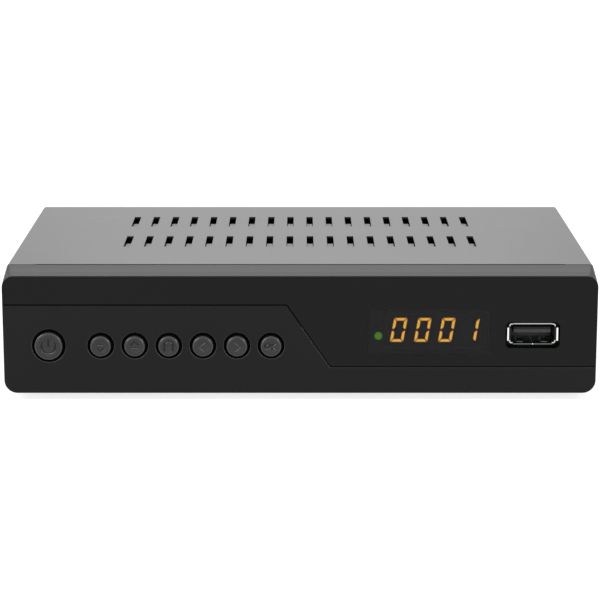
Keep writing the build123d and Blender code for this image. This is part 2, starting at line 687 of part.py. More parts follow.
def button_guides():
    """Walls behind the panel that guide the buttons' collars."""
    power = POWER_RADIUS + BUTTON_GAP + FLANGE_OVERLAP + GUIDE_GAP + GUIDE_WALL
    key = KEY_RADIUS + BUTTON_GAP + FLANGE_OVERLAP + GUIDE_GAP + GUIDE_WALL
    depth = (WALL_BACK, WALL_BACK + GUIDE_DEPTH)
    ring = bar(power, *depth, POWER_X, BUTTON_Z)
    rail = block((KEY_XS[0] - key, KEY_XS[-1] + key), depth, (BUTTON_Z - key, BUTTON_Z + key))
    return [ring, rail]


def bezel_form():
    """Outer form: the panel's face widens at the front and slopes up to meet the cover."""
    sections = []
    for turn in ROUND_TURNS:
        inset = PANEL_EDGE_RADIUS * (1 - sin(radians(turn)))
        depth = PANEL_EDGE_RADIUS * (1 - cos(radians(turn)))
        sections.append(upright(FRONT + depth) * panel_inset(inset))
    for share in BAND_SHARES:
        swell = SHOULDER_CROWN * 4 * share * (1 - share)
        section = rounded_panel(
            PANEL_WIDTH + (CASE_WIDTH - PANEL_WIDTH) * share,
            PANEL_LIFT + (TRAY_LOW - PANEL_LIFT) * share,
            PANEL_TOP + (BAND_TOP - PANEL_TOP) * share + swell,
            PANEL_TOP_RADIUS + (COVER_BEND - PANEL_TOP_RADIUS) * share,
            PANEL_BOTTOM_RADIUS + (TRAY_BEND - PANEL_BOTTOM_RADIUS) * share,
        )
        sections.append(upright(FRONT + SHOULDER_DEPTH * share) * section)
    return loft(sections, ruled=True)


def lens_pocket():
    """Cutter for the lens's recess, with a small bevel on the bezel's side of the groove."""
    inside = panel_inset(LENS_RIM)
    floor = lens_region(GROOVE_WIDTH / 2) & inside
    mouth = lens_region(GROOVE_WIDTH / 2 + GROOVE_CHAMFER) & inside
    bevel = loft([upright(FRONT) * mouth, upright(FRONT + GROOVE_CHAMFER) * floor], ruled=True)
    return [slab(floor, FRONT - PAST, LENS_BACK + LENS_BED), bevel]


def make_front_bezel():
    """Moulded front: panel, sloped band, skirt, button guides, screw bosses and catches."""
    skirt = Pos(0, (TRAY_TOP + SKIRT_TOP) / 2) * Rectangle(2 * SKIRT_HALF, SKIRT_TOP - TRAY_TOP)
    skirt = fillet(skirt.vertices(), COVER_BEND - COVER_SHEET)
    skirt = slab(skirt, JOINT, SKIRT_END)
    cavity = block(
        (-SKIRT_HALF + SKIRT_WALL, SKIRT_HALF - SKIRT_WALL),
        (WALL_BACK, SKIRT_END + THROUGH),
        (TRAY_TOP + SKIRT_WALL, SKIRT_TOP - SKIRT_WALL),
    )
    bezel = bezel_form() + skirt - cavity
    bosses = [bar(BOSS_RADIUS, WALL_BACK, FRONT_BOARD, x, z) for x, z in BOSS_POINTS]
    catches = []
    for x in spread(CATCH_COUNT, CATCH_PITCH):
        profile = outline(
            [
                (SKIRT_END - CATCH_DEPTH, TRAY_TOP + SKIRT_WALL / 2),
                (SKIRT_END, TRAY_TOP + SKIRT_WALL / 2),
                (SKIRT_END, TRAY_TOP),
                (SKIRT_END - CATCH_DEPTH, TRAY_LOW + LAP_GAP),
            ]
        )
        catch_plane = Plane.YZ.offset(x - CATCH_WIDTH / 2)
        catches.append(extrude(catch_plane * profile, CATCH_WIDTH))
    bezel = bezel + button_guides() + bosses + catches
    cutters = [
        bar(BOSS_SCREW_RADIUS, FRONT_BOARD - BOSS_SCREW_LENGTH, FRONT_BOARD + PAST, x, z)
        for x, z in BOSS_POINTS
    ]
    cutters += lens_pocket()
    window = Pos(WINDOW_X, PANEL_LIFT + WINDOW_Z) * Rectangle(WINDOW_WIDTH, WINDOW_HEIGHT)
    cutters.append(slab(window, FRONT, WALL_BACK + PAST))
    cutters.append(slab(usb_cutout(), FRONT, WALL_BACK + PAST))
    sight = RECEIVER_DOME_RADIUS + RECEIVER_HOLE_GAP
    cutters.append(bar(sight, FRONT, WALL_BACK + PAST, RECEIVER_X, PANEL_LIFT + RECEIVER_Z))
    cutters.append(button_hole(POWER_X, POWER_RADIUS))
    cutters += [button_hole(x, KEY_RADIUS) for x in KEY_XS]
    return bezel - cutters


def make_front_lens():
    """Smoked panel that lies flush in the bezel's pocket."""
    shape = lens_region(-GROOVE_WIDTH / 2) & panel_inset(LENS_RIM + LENS_FIT)
    return slab(shape - usb_cutout(), FRONT, LENS_BACK)


# ---------------------------------------------------------------------------- buttons
def make_button(x, radius):
    """Cap with a collar behind the wall and a stem that ends on its switch's plunger."""
    collar = radius + BUTTON_GAP + FLANGE_OVERLAP
    collar_front = WALL_BACK + FLANGE_REST
    collar_back = collar_front + FLANGE_THICKNESS
    face = FRONT - BUTTON_PROUD
    rim = radius - BUTTON_EDGE_RADIUS
    hollow = [(rim * share, face + BUTTON_DISH * (1 - share**2)) for share in DISH_SHARES]
    edge = [
        (
            radius - BUTTON_EDGE_RADIUS * (1 - sin(radians(turn))),
            face + BUTTON_EDGE_RADIUS * (1 - cos(radians(turn))),
        )
        for turn in ROUND_TURNS
    ]
    body = [
        (radius, collar_front),
        (collar, collar_front),
        (collar, collar_back),
        (STEM_RADIUS, collar_back),
        (STEM_RADIUS, PLUNGER_TIP),
        (0, PLUNGER_TIP),
    ]
    return turned(hollow + edge + body, x, BUTTON_Z)


def make_plunger(x):
    return bar(PLUNGER_RADIUS, PLUNGER_TIP, SWITCH_FACE + PLUNGER_DEPTH, x, BUTTON_Z)


def make_switch(x):
    """Body of a tactile switch, with the bore that its plunger slides in."""
    half = SWITCH_SIZE / 2
    body = block(
        (x - half, x + half), (SWITCH_FACE, FRONT_BOARD), (BUTTON_Z - half, BUTTON_Z + half)
    )
    body = chamfer(body.edges().filter_by(Axis.Y), SWITCH_CORNER)
    bore_end = SWITCH_FACE + PLUNGER_DEPTH + BUTTON_TRAVEL + PLUNGER_END_GAP
    return body - bar(PLUNGER_RADIUS + PLUNGER_FIT, SWITCH_FACE - PAST, bore_end, x, BUTTON_Z)


# ---------------------------------------------------------------------------- front board
def make_front_board():
    board = block(
        (-FRONT_BOARD_HALF, FRONT_BOARD_HALF),
        (FRONT_BOARD, FRONT_BOARD_BACK),
        (FRONT_BOARD_LOW, FRONT_BOARD_HIGH),
    )
    through = (FRONT_BOARD - PAST, FRONT_BOARD_BACK + PAST)
    holes = [bar(BOSS_SCREW_RADIUS + BOARD_HOLE_GAP, *through, x, z) for x, z in BOSS_POINTS]
    half = HEADER_PIN / 2 + HEADER_HOLE_GAP
    height = (HEADER_Z - half, HEADER_Z + half)
    holes += [block((x - half, x + half), through, height) for x in HEADER_XS]
    return board - holes


def make_front_board_screws():
    screw = pan_screw(
        BOSS_SCREW_HEAD_RADIUS,
        BOSS_SCREW_HEAD_HEIGHT,
        BOSS_SCREW_RADIUS - CLOSE_FIT,
        BOSS_SCREW_LENGTH,
    )
    return [Pos(x, FRONT_BOARD_BACK, z) * Rot(-90, 0, 0) * screw for x, z in BOSS_POINTS]


def segment(letter, grow):
    """One bar of a digit about the digit's middle, grown by a margin all round."""
    half_width = (DIGIT_WIDTH - SEGMENT_WIDTH) / 2
    half_height = (DIGIT_HEIGHT - SEGMENT_WIDTH) / 2
    thick = SEGMENT_WIDTH / 2 + grow
    middles = {
        "a": (0, half_height),
        "b": (half_width, half_height / 2),
        "c": (half_width, -half_height / 2),
        "d": (0, -half_height),
        "e": (-half_width, -half_height / 2),
        "f": (-half_width, half_height / 2),
        "g": (0, 0),
    }
    x, z = middles[letter]
    level = letter in "adg"
    reach = (half_width if level else half_height / 2) - SEGMENT_GAP + grow
    ends = [(-reach, 0), (-reach + thick, thick), (reach - thick, thick)]
    ends += [(reach, 0), (reach - thick, -thick), (-reach + thick, -thick)]
    if not level:
        ends = [(-v, u) for u, v in ends]
    lean = tan(radians(DIGIT_SLANT))
    return outline([(x + u + (z + v) * lean, z + v) for u, v in ends])


def make_display():
    """Display module, its lit segments and its dark ones."""
    face = FRONT_BOARD - DISPLAY_DEPTH
    middle = PANEL_LIFT + DISPLAY_Z
    half = DIGIT_COUNT * DIGIT_PITCH / 2 + DISPLAY_MARGIN
    module = block(
        (DISPLAY_X - half, DISPLAY_X + half),
        (face, FRONT_BOARD),
        (middle - DISPLAY_HEIGHT / 2, middle + DISPLAY_HEIGHT / 2),
    )
    recesses = []
    lit = []
    dark = []
    for digit, x in zip(SHOWN_DIGITS, spread(DIGIT_COUNT, DIGIT_PITCH, DISPLAY_X)):
        for letter in "abcdefg":
            place = Pos(x, middle)
            recess = place * segment(letter, SEGMENT_FIT)
            recesses.append(slab(recess, face - PAST, face + SEGMENT_DEPTH))
            filling = slab(place * segment(letter, 0), face, face + SEGMENT_DEPTH)
            group = lit if letter in DIGIT_SEGMENTS[digit] else dark
            group.append(filling)
    return module - recesses, lit, dark


def make_status_led():
    """Round LED with a domed tip, on a spacer."""
    tip = FRONT_BOARD - LED_HEIGHT
    base = FRONT_BOARD - LED_SPACER_HEIGHT
    body = domed_bar(LED_RADIUS, tip, base, LED_RADIUS)
    rim = bar(LED_SPACER_RADIUS, base - LED_RIM, base)
    return Pos(LED_X, 0, PANEL_LIFT + LED_Z) * (body + rim)


def make_led_spacer():
    base = FRONT_BOARD - LED_SPACER_HEIGHT
    return bar(LED_SPACER_RADIUS, base, FRONT_BOARD, LED_X, PANEL_LIFT + LED_Z)


def make_ir_receiver():
    """Infrared receiver with a domed window that looks out through the lens."""
    z = PANEL_LIFT + RECEIVER_Z
    face = FRONT_BOARD - RECEIVER_HEIGHT
    body = block(
        (RECEIVER_X - RECEIVER_WIDTH / 2, RECEIVER_X + RECEIVER_WIDTH / 2),
        (face, FRONT_BOARD),
        (z - RECEIVER_TALL / 2, z + RECEIVER_TALL / 2),
    )
    body = chamfer(body.edges().filter_by(Axis.Z).sort_by(Axis.Y)[:2], RECEIVER_BEVEL)
    tip = face - RECEIVER_CROWN
    dome = domed_bar(RECEIVER_DOME_RADIUS, tip, FRONT_BOARD, RECEIVER_CROWN)
    return body + Pos(RECEIVER_X, 0, z) * dome


# ---------------------------------------------------------------------------- USB socket
def usb_lip(width, flare, rise, bend):
    """Flared lip of the mouth, above the opening; rise is the shell's half size there."""
    profile = outline(
        [
            (0, rise + flare),
            (USB_LIP_LENGTH, rise),
            (USB_LIP_LENGTH, rise - USB_SHEET),
            (bend, rise - USB_SHEET),
            (0, rise + flare - USB_SHEET),
        ]
    )
    return extrude(Plane.YZ.offset(-width / 2) * profile, width)


def make_usb_shell():
    """Folded steel shell with four flared lips and two sprung fingers in its floor."""
    half_width = USB_INNER_WIDTH / 2 + USB_SHEET
    half_height = USB_INNER_HEIGHT / 2 + USB_SHEET
    tube_start = USB_LIP_LENGTH
    length = FRONT_BOARD - USB_MOUTH
    outer = fillet(Rectangle(2 * half_width, 2 * half_height).vertices(), 2 * USB_SHEET)
    inner = fillet(Rectangle(USB_INNER_WIDTH, USB_INNER_HEIGHT).vertices(), USB_SHEET)
    shell = slab(outer - inner, tube_start, length)
    above = (USB_TOP_LIP_FLARE, half_height, USB_LIP_BEND)
    below = (USB_BOTTOM_LIP_FLARE, half_height, USB_LIP_BEND)
    beside = (USB_SIDE_LIP_FLARE, half_width, USB_SIDE_LIP_BEND)
    shell += [
        usb_lip(USB_LIP_WIDTH, *above),
        Rot(0, 180, 0) * usb_lip(USB_LIP_WIDTH, *below),
        Rot(0, 90, 0) * usb_lip(USB_LIP_HEIGHT, *beside),
        Rot(0, -90, 0) * usb_lip(USB_LIP_HEIGHT, *beside),
    ]
    floor = -half_height
    tip = tube_start + USB_SPRING_START
    root = tip + USB_SPRING_LENGTH
    knee = tip + USB_SPRING_NOSE
    for x in (-USB_SPRING_X, USB_SPRING_X):
        half = USB_SPRING_WIDTH / 2
        shell -= block(
            (x - half - USB_SHEET, x + half + USB_SHEET),
            (tip - USB_SHEET, root),
            (floor - PAST, floor + USB_SHEET + LAP_GAP),
        )
        finger = outline(
            [
                (root + USB_SHEET, floor),
                (root + USB_SHEET, floor + USB_SHEET),
                (root - USB_SHEET, floor + USB_SHEET),
                (knee, floor + USB_SHEET + USB_SPRING_DIP),
                (tip, floor + USB_SHEET + LAP_GAP),
                (tip, floor + LAP_GAP),
                (knee, floor + USB_SPRING_DIP),
                (root - USB_SHEET, floor),
            ]
        )
        shell += extrude(Plane.YZ.offset(x - half) * finger, USB_SPRING_WIDTH)
    return Pos(USB_X, USB_MOUTH, USB_MIDDLE) * shell


def make_usb_tongue():
    """Insulator: a base that closes the shell's end and the tongue that carries contacts."""
    half_width = USB_INNER_WIDTH / 2 - USB_SHEET
    half_height = USB_INNER_HEIGHT / 2 - CLOSE_FIT
    length = FRONT_BOARD - USB_MOUTH
    base = block(
        (-half_width, half_width),
        (length - USB_BASE_THICKNESS, length),
        (-half_height, half_height),
    )
    top = USB_INNER_HEIGHT / 2 - USB_TONGUE_HEADROOM
    tongue = block(
        (-USB_TONGUE_WIDTH / 2, USB_TONGUE_WIDTH / 2),
        (USB_TONGUE_RECESS, length - USB_BASE_THICKNESS),
        (top - USB_TONGUE_THICKNESS, top),
    )
    tongue = chamfer(tongue.faces().sort_by(Axis.Y)[0].edges(), USB_TONGUE_CHAMFER)
    return Pos(USB_X, USB_MOUTH, USB_MIDDLE) * (base + tongue)


def make_usb_contacts():
    """Four contact strips under the tongue."""
    top = USB_INNER_HEIGHT / 2 - USB_TONGUE_HEADROOM - USB_TONGUE_THICKNESS
    end = FRONT_BOARD - USB_MOUTH - USB_BASE_THICKNESS
    strips = []
    for x in USB_CONTACT_X:
        strip = block(
            (x - USB_CONTACT_WIDTH / 2, x + USB_CONTACT_WIDTH / 2),
            (USB_TONGUE_RECESS + USB_CONTACT_RECESS, end),
            (top - USB_CONTACT_THICKNESS, top),
        )
        strips.append(Pos(USB_X, USB_MOUTH, USB_MIDDLE) * strip)
    return strips


# ---------------------------------------------------------------------------- main board
def make_main_board():
    board = block(
        (-MAIN_BOARD_HALF, MAIN_BOARD_HALF),
        (BOARD_FRONT, BOARD_REAR),
        (BOARD_LOW, BOARD_TOP),
    )
    through = (BOARD_LOW - PAST, BOARD_TOP + PAST)
    holes = [post(MAIN_SCREW_RADIUS + BOARD_HOLE_GAP, *through, x, y) for x, y in MAIN_SCREW_POINTS]
    half = HEADER_PIN / 2 + HEADER_HOLE_GAP
    leg = header_leg_y()
    holes += [block((x - half, x + half), (leg - half, leg + half), through) for x in HEADER_XS]
    return board - holes


def make_main_board_screws():
    screw = pan_screw(
        MAIN_SCREW_HEAD_RADIUS,
        MAIN_SCREW_HEAD_HEIGHT,
        MAIN_SCREW_RADIUS - CLOSE_FIT,
        BOARD_THICKNESS + STANDOFF_HEIGHT,
    )
    return [Pos(x, y, BOARD_TOP) * screw for x, y in MAIN_SCREW_POINTS]


def header_leg_y():
    """Where the header's pins go down through the main board."""
    return BOARD_FRONT + 1.5 * HEADER_BODY


def make_header_body():
    """Plastic strip of the right-angled header, on the main board's front edge."""
    half = HEADER_PINS * HEADER_PITCH / 2
    body = block(
        (HEADER_X - half, HEADER_X + half),
        (BOARD_FRONT, BOARD_FRONT + HEADER_BODY),
        (BOARD_TOP, BOARD_TOP + HEADER_BODY),
    )
    slot = HEADER_PIN / 2 + CLOSE_FIT
    holes = [
        block(
            (x - slot, x + slot),
            (BOARD_FRONT - PAST, BOARD_FRONT + HEADER_BODY + PAST),
            (HEADER_Z - slot, HEADER_Z + slot),
        )
        for x in HEADER_XS
    ]
    return body - holes


def make_header_pins():
    """Bent pins that join the front board to the main board."""
    half = HEADER_PIN / 2
    pins = []
    for x in HEADER_XS:
        pin = block(
            (x - half, x + half),
            (FRONT_BOARD - HEADER_REACH, header_leg_y() + half),
            (HEADER_Z - half, HEADER_Z + half),
        )
        pin += block(
            (x - half, x + half),
            (header_leg_y() - half, header_leg_y() + half),
            (BOARD_LOW - HEADER_REACH, HEADER_Z + half),
        )
        pins.append(pin)
    return pins


def on_board(width, length, height, x, depth):
    """Rectangular component that stands on the main board."""
    y = FRONT + depth
    return block(
        (x - width / 2, x + width / 2),
        (y - length / 2, y + length / 2),
        (BOARD_TOP, BOARD_TOP + height),
    )


def make_main_chip():
    chip = on_board(CHIP_SIZE, CHIP_SIZE, CHIP_HEIGHT, CHIP_X, CHIP_DEPTH)
    return chamfer(chip.faces().sort_by(Axis.Z)[-1].edges(), CHIP_CHAMFER)


def make_heat_sink():
    """Finned block on the main chip."""
    low = BOARD_TOP + CHIP_HEIGHT
    y = FRONT + CHIP_DEPTH
    half = SINK_SIZE / 2
    sink = block(
        (CHIP_X - half, CHIP_X + half), (y - half, y + half), (low, low + SINK_HEIGHT)
    )
    pitch = (SINK_SIZE - SINK_FIN) / (SINK_FINS - 1)
    channel = pitch - SINK_FIN
    channels = [
        block(
            (x - channel / 2, x + channel / 2),
            (y - half - PAST, y + half + PAST),
            (low + SINK_BASE, low + SINK_HEIGHT + PAST),
        )
        for x in spread(SINK_FINS - 1, pitch, CHIP_X)
    ]
    return sink - channels


def make_memory_chips():
    return [on_board(*chip) for chip in MEMORY_CHIPS]


def make_crystal():
    can = on_board(CRYSTAL_LENGTH, CRYSTAL_WIDTH, CRYSTAL_HEIGHT, CRYSTAL_X, CRYSTAL_DEPTH)
    can = fillet(can.edges().filter_by(Axis.Z), CRYSTAL_WIDTH * 0.45)
    return chamfer(can.faces().sort_by(Axis.Z)[-1].edges(), CRYSTAL_CHAMFER)


def make_capacitor(radius, height, x, depth):
    """Electrolytic can with a bevelled top."""
    low = BOARD_TOP
    high = low + height
    bevel = radius * 0.12
    profile = [(0, low), (radius, low), (radius, high - bevel), (radius - bevel, high), (0, high)]
    return turned_up(profile, x, FRONT + depth)


def make_inductor(size, height, x, depth):
    """Shielded power inductor: square with cut corners and a ring groove around its core."""
    shell = on_board(size, size, height, x, depth)
    shell = chamfer(shell.edges().filter_by(Axis.Z), size * 0.2)
    top = BOARD_TOP + height
    core = size * 0.27
    bore = size * 0.34
    low = top - INDUCTOR_GROOVE
    high = top + PAST
    ring = [(core, low), (bore, low), (bore, high), (core, high)]
    return shell - turned_up(ring, x, FRONT + depth)


# ---------------------------------------------------------------------------- rear sockets
def make_tuner_can():
    """Screened tuner box against the rear panel, with its lid's tuning holes."""
    half = TUNER_WIDTH / 2
    top = BOARD_TOP + TUNER_HEIGHT
    can = block(
        (TUNER_X - half, TUNER_X + half),
        (REAR_INSIDE - TUNER_DEPTH, REAR_INSIDE),
        (BOARD_TOP, top),
    )
    can = chamfer(can.faces().sort_by(Axis.Z)[-1].edges(), TUNER_BEVEL)
    middle = REAR_INSIDE - TUNER_DEPTH / 2
    holes = [
        post(TUNER_HOLE_RADIUS, top - TUNER_HOLE_DEPTH, top + PAST, TUNER_X + x, middle + y)
        for x in spread(3, TUNER_WIDTH * 0.25)
        for y in spread(2, TUNER_DEPTH * 0.4)
    ]
    return can - holes


def make_lnb_connector():
    """Threaded F barrel through the rear panel, stepped down where its nut sits."""
    step = LNB_RADIUS - LNB_RELIEF
    nut_end = REAR + LNB_NUT_THICKNESS
    end = REAR + LNB_REACH
    profile = [
        (LNB_BORE_RADIUS, REAR_INSIDE),
        (step, REAR_INSIDE),
        (step, nut_end),
        (LNB_RADIUS, nut_end),
        (LNB_RADIUS, end - LNB_CHAMFER),
        (LNB_RADIUS - LNB_CHAMFER, end),
        (LNB_BORE_RADIUS, end),
    ]
    return turned(profile, TUNER_X, LNB_Z)


def make_lnb_nut():
    """Hexagon nut that clamps the barrel to the rear panel."""
    shape = RegularPolygon(LNB_NUT_WIDTH / 2, 6, major_radius=False)
    bore = Circle(LNB_RADIUS - LNB_RELIEF + CLOSE_FIT)
    end = REAR + LNB_NUT_THICKNESS
    nut = slab(Pos(TUNER_X, LNB_Z) * (shape - bore), REAR, end)
    corner = LNB_NUT_WIDTH / 2 / cos(radians(30))
    round_off = corner - LNB_NUT_WIDTH / 2
    envelope = [
        (0, REAR),
        (corner, REAR),
        (corner, end - round_off),
        (corner - round_off, end),
        (0, end),
    ]
    return nut & turned(envelope, TUNER_X, LNB_Z)


def make_lnb_insulator():
    """Insulator in the barrel, with the hole that takes the cable's inner conductor."""
    radius = LNB_BORE_RADIUS - CLOSE_FIT
    end = REAR + LNB_REACH - LNB_INSULATOR_RECESS
    profile = [
        (0, REAR_INSIDE),
        (radius, REAR_INSIDE),
        (radius, end),
        (LNB_CONTACT_RADIUS + LNB_CHAMFER, end),
        (LNB_CONTACT_RADIUS, end - LNB_CHAMFER),
        (LNB_CONTACT_RADIUS, end - LNB_CONTACT_DEPTH),
        (0, end - LNB_CONTACT_DEPTH),
    ]
    return turned(profile, TUNER_X, LNB_Z)


def av_outline():
    """AV socket's outline: a long rectangle with one slanted end."""
    half_width = AV_WIDTH / 2
    half_height = AV_HEIGHT / 2
    shape = outline(
        [
            (-half_width, -half_height),
            (half_width - AV_SLANT, -half_height),
            (half_width, half_height),
            (-half_width, half_height),
        ]
    )
    return Pos(AV_X, AV_Z) * fillet(shape.vertices(), AV_CORNER)


def av_slots():
    """Middle of each contact slot: the lower row stands half a pitch to the side."""
    return [
        (x + side * AV_SLOT_PITCH / 4, AV_Z + side * AV_ROW_RISE)
        for side in (-1, 1)
        for x in spread(AV_SLOTS, AV_SLOT_PITCH, AV_X - AV_SLANT / 2)
    ]


def make_av_housing():
    """Moulded socket with a channel around its core and two rows of contact slots."""
    housing = block(
        (AV_X - AV_HOUSING_HALF, AV_X + AV_HOUSING_HALF),
        (REAR_INSIDE - AV_HOUSING_DEPTH, REAR_INSIDE),
        (BOARD_TOP, AV_Z + AV_HEIGHT / 2 + AV_HOUSING_MARGIN),
    )
    end = REAR + AV_PROUD
    housing += slab(av_outline(), REAR_INSIDE, end)
    channel = offset(av_outline(), -AV_WALL) - offset(av_outline(), -AV_WALL - AV_CHANNEL)
    cutters = [slab(channel, end - AV_SOCKET_DEPTH, end + PAST)]
    for x, z in av_slots():
        slot = Pos(x, z) * Rectangle(AV_SLOT_WIDTH, AV_SLOT_HEIGHT)
        cutters.append(slab(slot, end - AV_SOCKET_DEPTH, end + PAST))
    return housing - cutters


def make_av_contacts():
    """Spring blades at the bottom of the AV socket's slots."""
    end = REAR + AV_PROUD
    blade = Rectangle(AV_CONTACT, AV_SLOT_HEIGHT - AV_BLADE_GAP)
    return [
        slab(Pos(x, z) * blade, end - AV_SOCKET_DEPTH, end - AV_BLADE_RECESS)
        for x, z in av_slots()
    ]


def video_outline():
    """Video port's outline, with its lower corners cut."""
    shape = Rectangle(VIDEO_WIDTH, VIDEO_HEIGHT)
    shape = chamfer(shape.vertices().group_by(Axis.Y)[0], VIDEO_CORNER)
    return Pos(VIDEO_X, VIDEO_Z) * shape


def make_video_shell():
    tube = video_outline() - offset(video_outline(), -VIDEO_SHEET)
    return slab(tube, REAR + VIDEO_PROUD - VIDEO_DEPTH, REAR + VIDEO_PROUD)


def make_video_tongue():
    """Insulator that closes the port's inner end and carries the tongue."""
    low = REAR + VIDEO_PROUD - VIDEO_DEPTH
    base_end = low + VIDEO_BASE_THICKNESS
    base = slab(offset(video_outline(), -VIDEO_SHEET - CLOSE_FIT), low, base_end)
    tongue = block(
        (VIDEO_X - VIDEO_TONGUE_WIDTH / 2, VIDEO_X + VIDEO_TONGUE_WIDTH / 2),
        (base_end, REAR + VIDEO_PROUD - VIDEO_TONGUE_RECESS),
        (VIDEO_Z, VIDEO_Z + VIDEO_TONGUE_THICKNESS),
    )
    return base + tongue


def make_coax_body():
    """Moulded body of the digital audio jack, with its collar through the rear panel."""
    half = COAX_BODY_WIDTH / 2
    body = block(
        (COAX_X - half, COAX_X + half),
        (REAR_INSIDE - COAX_BODY_DEPTH, REAR_INSIDE),
        (BOARD_TOP, COAX_Z + half),
    )
    return body + bar(COAX_COLLAR_RADIUS, REAR_INSIDE, REAR + COAX_COLLAR_PROUD, COAX_X, COAX_Z)


def make_coax_sleeve():
    low = REAR + COAX_COLLAR_PROUD
    end = REAR + COAX_REACH
    inner = COAX_RADIUS - COAX_WALL
    profile = [
        (inner, low),
        (COAX_RADIUS, low),
        (COAX_RADIUS, end - COAX_CHAMFER),
        (COAX_RADIUS - COAX_WALL / 2, end),
        (inner, end),
    ]
    return turned(profile, COAX_X, COAX_Z)


def make_coax_insulator():
    low = REAR + COAX_COLLAR_PROUD
    end = REAR + COAX_REACH - COAX_CHAMFER
    radius = COAX_RADIUS - COAX_WALL - CLOSE_FIT
    profile = [
        (0, low),
        (radius, low),
        (radius, end),
        (COAX_PIN_RADIUS + COAX_CHAMFER, end),
        (COAX_PIN_RADIUS, end - COAX_CHAMFER),
        (COAX_PIN_RADIUS, end - COAX_PIN_DEPTH),
        (0, end - COAX_PIN_DEPTH),
    ]
    return turned(profile, COAX_X, COAX_Z)


def make_power_jack():
    """Moulded low-voltage inlet, with a round nose through the rear panel."""
    half = POWER_JACK_WIDTH / 2
    body = block(
        (POWER_JACK_X - half, POWER_JACK_X + half),
        (REAR_INSIDE - POWER_JACK_DEPTH, REAR_INSIDE),
        (BOARD_TOP, POWER_JACK_Z + half),
    )
    end = REAR + POWER_JACK_PROUD
    body += bar(POWER_JACK_NOSE_RADIUS, REAR_INSIDE, end, POWER_JACK_X, POWER_JACK_Z)
    depth = (end - POWER_JACK_BORE_DEPTH, end + PAST)
    return body - bar(POWER_JACK_BORE_RADIUS, *depth, POWER_JACK_X, POWER_JACK_Z)


def make_power_pin():
    end = REAR + POWER_JACK_PROUD
    tip = end - POWER_JACK_PIN_RECESS
    radius = POWER_JACK_PIN_RADIUS
    profile = [
        (0, end - POWER_JACK_BORE_DEPTH),
        (radius, end - POWER_JACK_BORE_DEPTH),
        (radius, tip - radius * 0.5),
        (radius * 0.5, tip),
        (0, tip),
    ]
    return turned(profile, POWER_JACK_X, POWER_JACK_Z)


# ---------------------------------------------------------------------------- feet, screws
def make_feet():
    """Push-in rubber feet: a pad under the tray, a stem through it and a barb above."""
    stem_top = TRAY_TOP + FOOT_FIT
    foot = turned_up(
        [
            (0, 0),
            (FOOT_RADIUS - FOOT_CHAMFER, 0),
            (FOOT_RADIUS, FOOT_CHAMFER),
            (FOOT_RADIUS, FOOT_HEIGHT),
            (FOOT_STEM_RADIUS, FOOT_HEIGHT),
            (FOOT_STEM_RADIUS, stem_top),
            (FOOT_BARB_RADIUS, stem_top),
            (FOOT_STEM_RADIUS * 0.6, stem_top + FOOT_BARB_HEIGHT),
            (0, stem_top + FOOT_BARB_HEIGHT),
        ]
    )
    return [Pos(x, FRONT + d, 0) * foot for d in FOOT_DEPTHS for x in (-FOOT_X, FOOT_X)]


def make_case_screws():
    """Screws through the cover's sides into the tray's flanges."""
    shank = CASE_SCREW_RADIUS - CLOSE_FIT
    screw = pan_screw(CASE_SCREW_HEAD_RADIUS, CASE_SCREW_HEAD_HEIGHT, shank, CASE_SCREW_LENGTH)
    arm = CASE_SCREW_HEAD_RADIUS * 1.1
    for width, depth in ((arm, CROSS_WIDTH), (CROSS_WIDTH, arm)):
        screw -= Pos(0, 0, CASE_SCREW_HEAD_HEIGHT) * Box(width, depth, 2 * CROSS_DEPTH)
    z = TRAY_LOW + CASE_SCREW_RISE
    return [
        Pos(side * CASE_WIDTH / 2, FRONT + depth, z) * Rot(0, side * 90, 0) * screw
        for side in (-1, 1)
        for depth in CASE_SCREW_DEPTHS
    ]


# ---------------------------------------------------------------------------- assembly
def make_nodes():
    """Every sub-part by name: one solid, or a list of alike ones."""
    display_module, lit_segments, dark_segments = make_display()
    nodes = {
        "top_cover": make_top_cover(),
        "base_tray": make_base_tray(),
        "front_bezel": make_front_bezel(),
        "front_lens": make_front_lens(),
        "rubber_feet": make_feet(),
        "cover_screws": make_case_screws(),
        "front_board": make_front_board(),
        "front_board_screws": make_front_board_screws(),
        "switch_bodies": [make_switch(x) for x in [POWER_X] + KEY_XS],
        "display_module": display_module,
        "lit_segments": lit_segments,
        "dark_segments": dark_segments,
        "status_led": make_status_led(),
        "led_spacer": make_led_spacer(),
        "ir_receiver": make_ir_receiver(),
        "usb_shell": make_usb_shell(),
        "usb_tongue": make_usb_tongue(),
        "usb_contacts": make_usb_contacts(),
        "main_board": make_main_board(),
        "main_board_screws": make_main_board_screws(),
        "header_body": make_header_body(),
        "header_pins": make_header_pins(),
        "main_chip": make_main_chip(),
        "heat_sink": make_heat_sink(),
        "memory_chips": make_memory_chips(),
        "crystal_can": make_crystal(),
        "capacitors": [make_capacitor(*can) for can in CAPACITORS],
        "power_inductors": [make_inductor(*coil) for coil in INDUCTORS],
        "tuner_can": make_tuner_can(),
        "lnb_connector": make_lnb_connector(),
        "lnb_nut": make_lnb_nut(),
        "lnb_insulator": make_lnb_insulator(),
        "av_socket_housing": make_av_housing(),
        "av_socket_contacts": make_av_contacts(),
        "video_port_shell": make_video_shell(),
        "video_port_tongue": make_video_tongue(),
        "coax_jack_body": make_coax_body(),
        "coax_jack_sleeve": make_coax_sleeve(),
        "coax_jack_insulator": make_coax_insulator(),
        "power_jack_body": make_power_jack(),
        "power_jack_pin": make_power_pin(),
        "power_button": make_button(POWER_X, POWER_RADIUS),
        "power_plunger": make_plunger(POWER_X),
    }
    for number, x in enumerate(KEY_XS, 1):
        nodes[f"key_{number}"] = make_button(x, KEY_RADIUS)
        nodes[f"key_{number}_plunger"] = make_plunger(x)
    return nodes


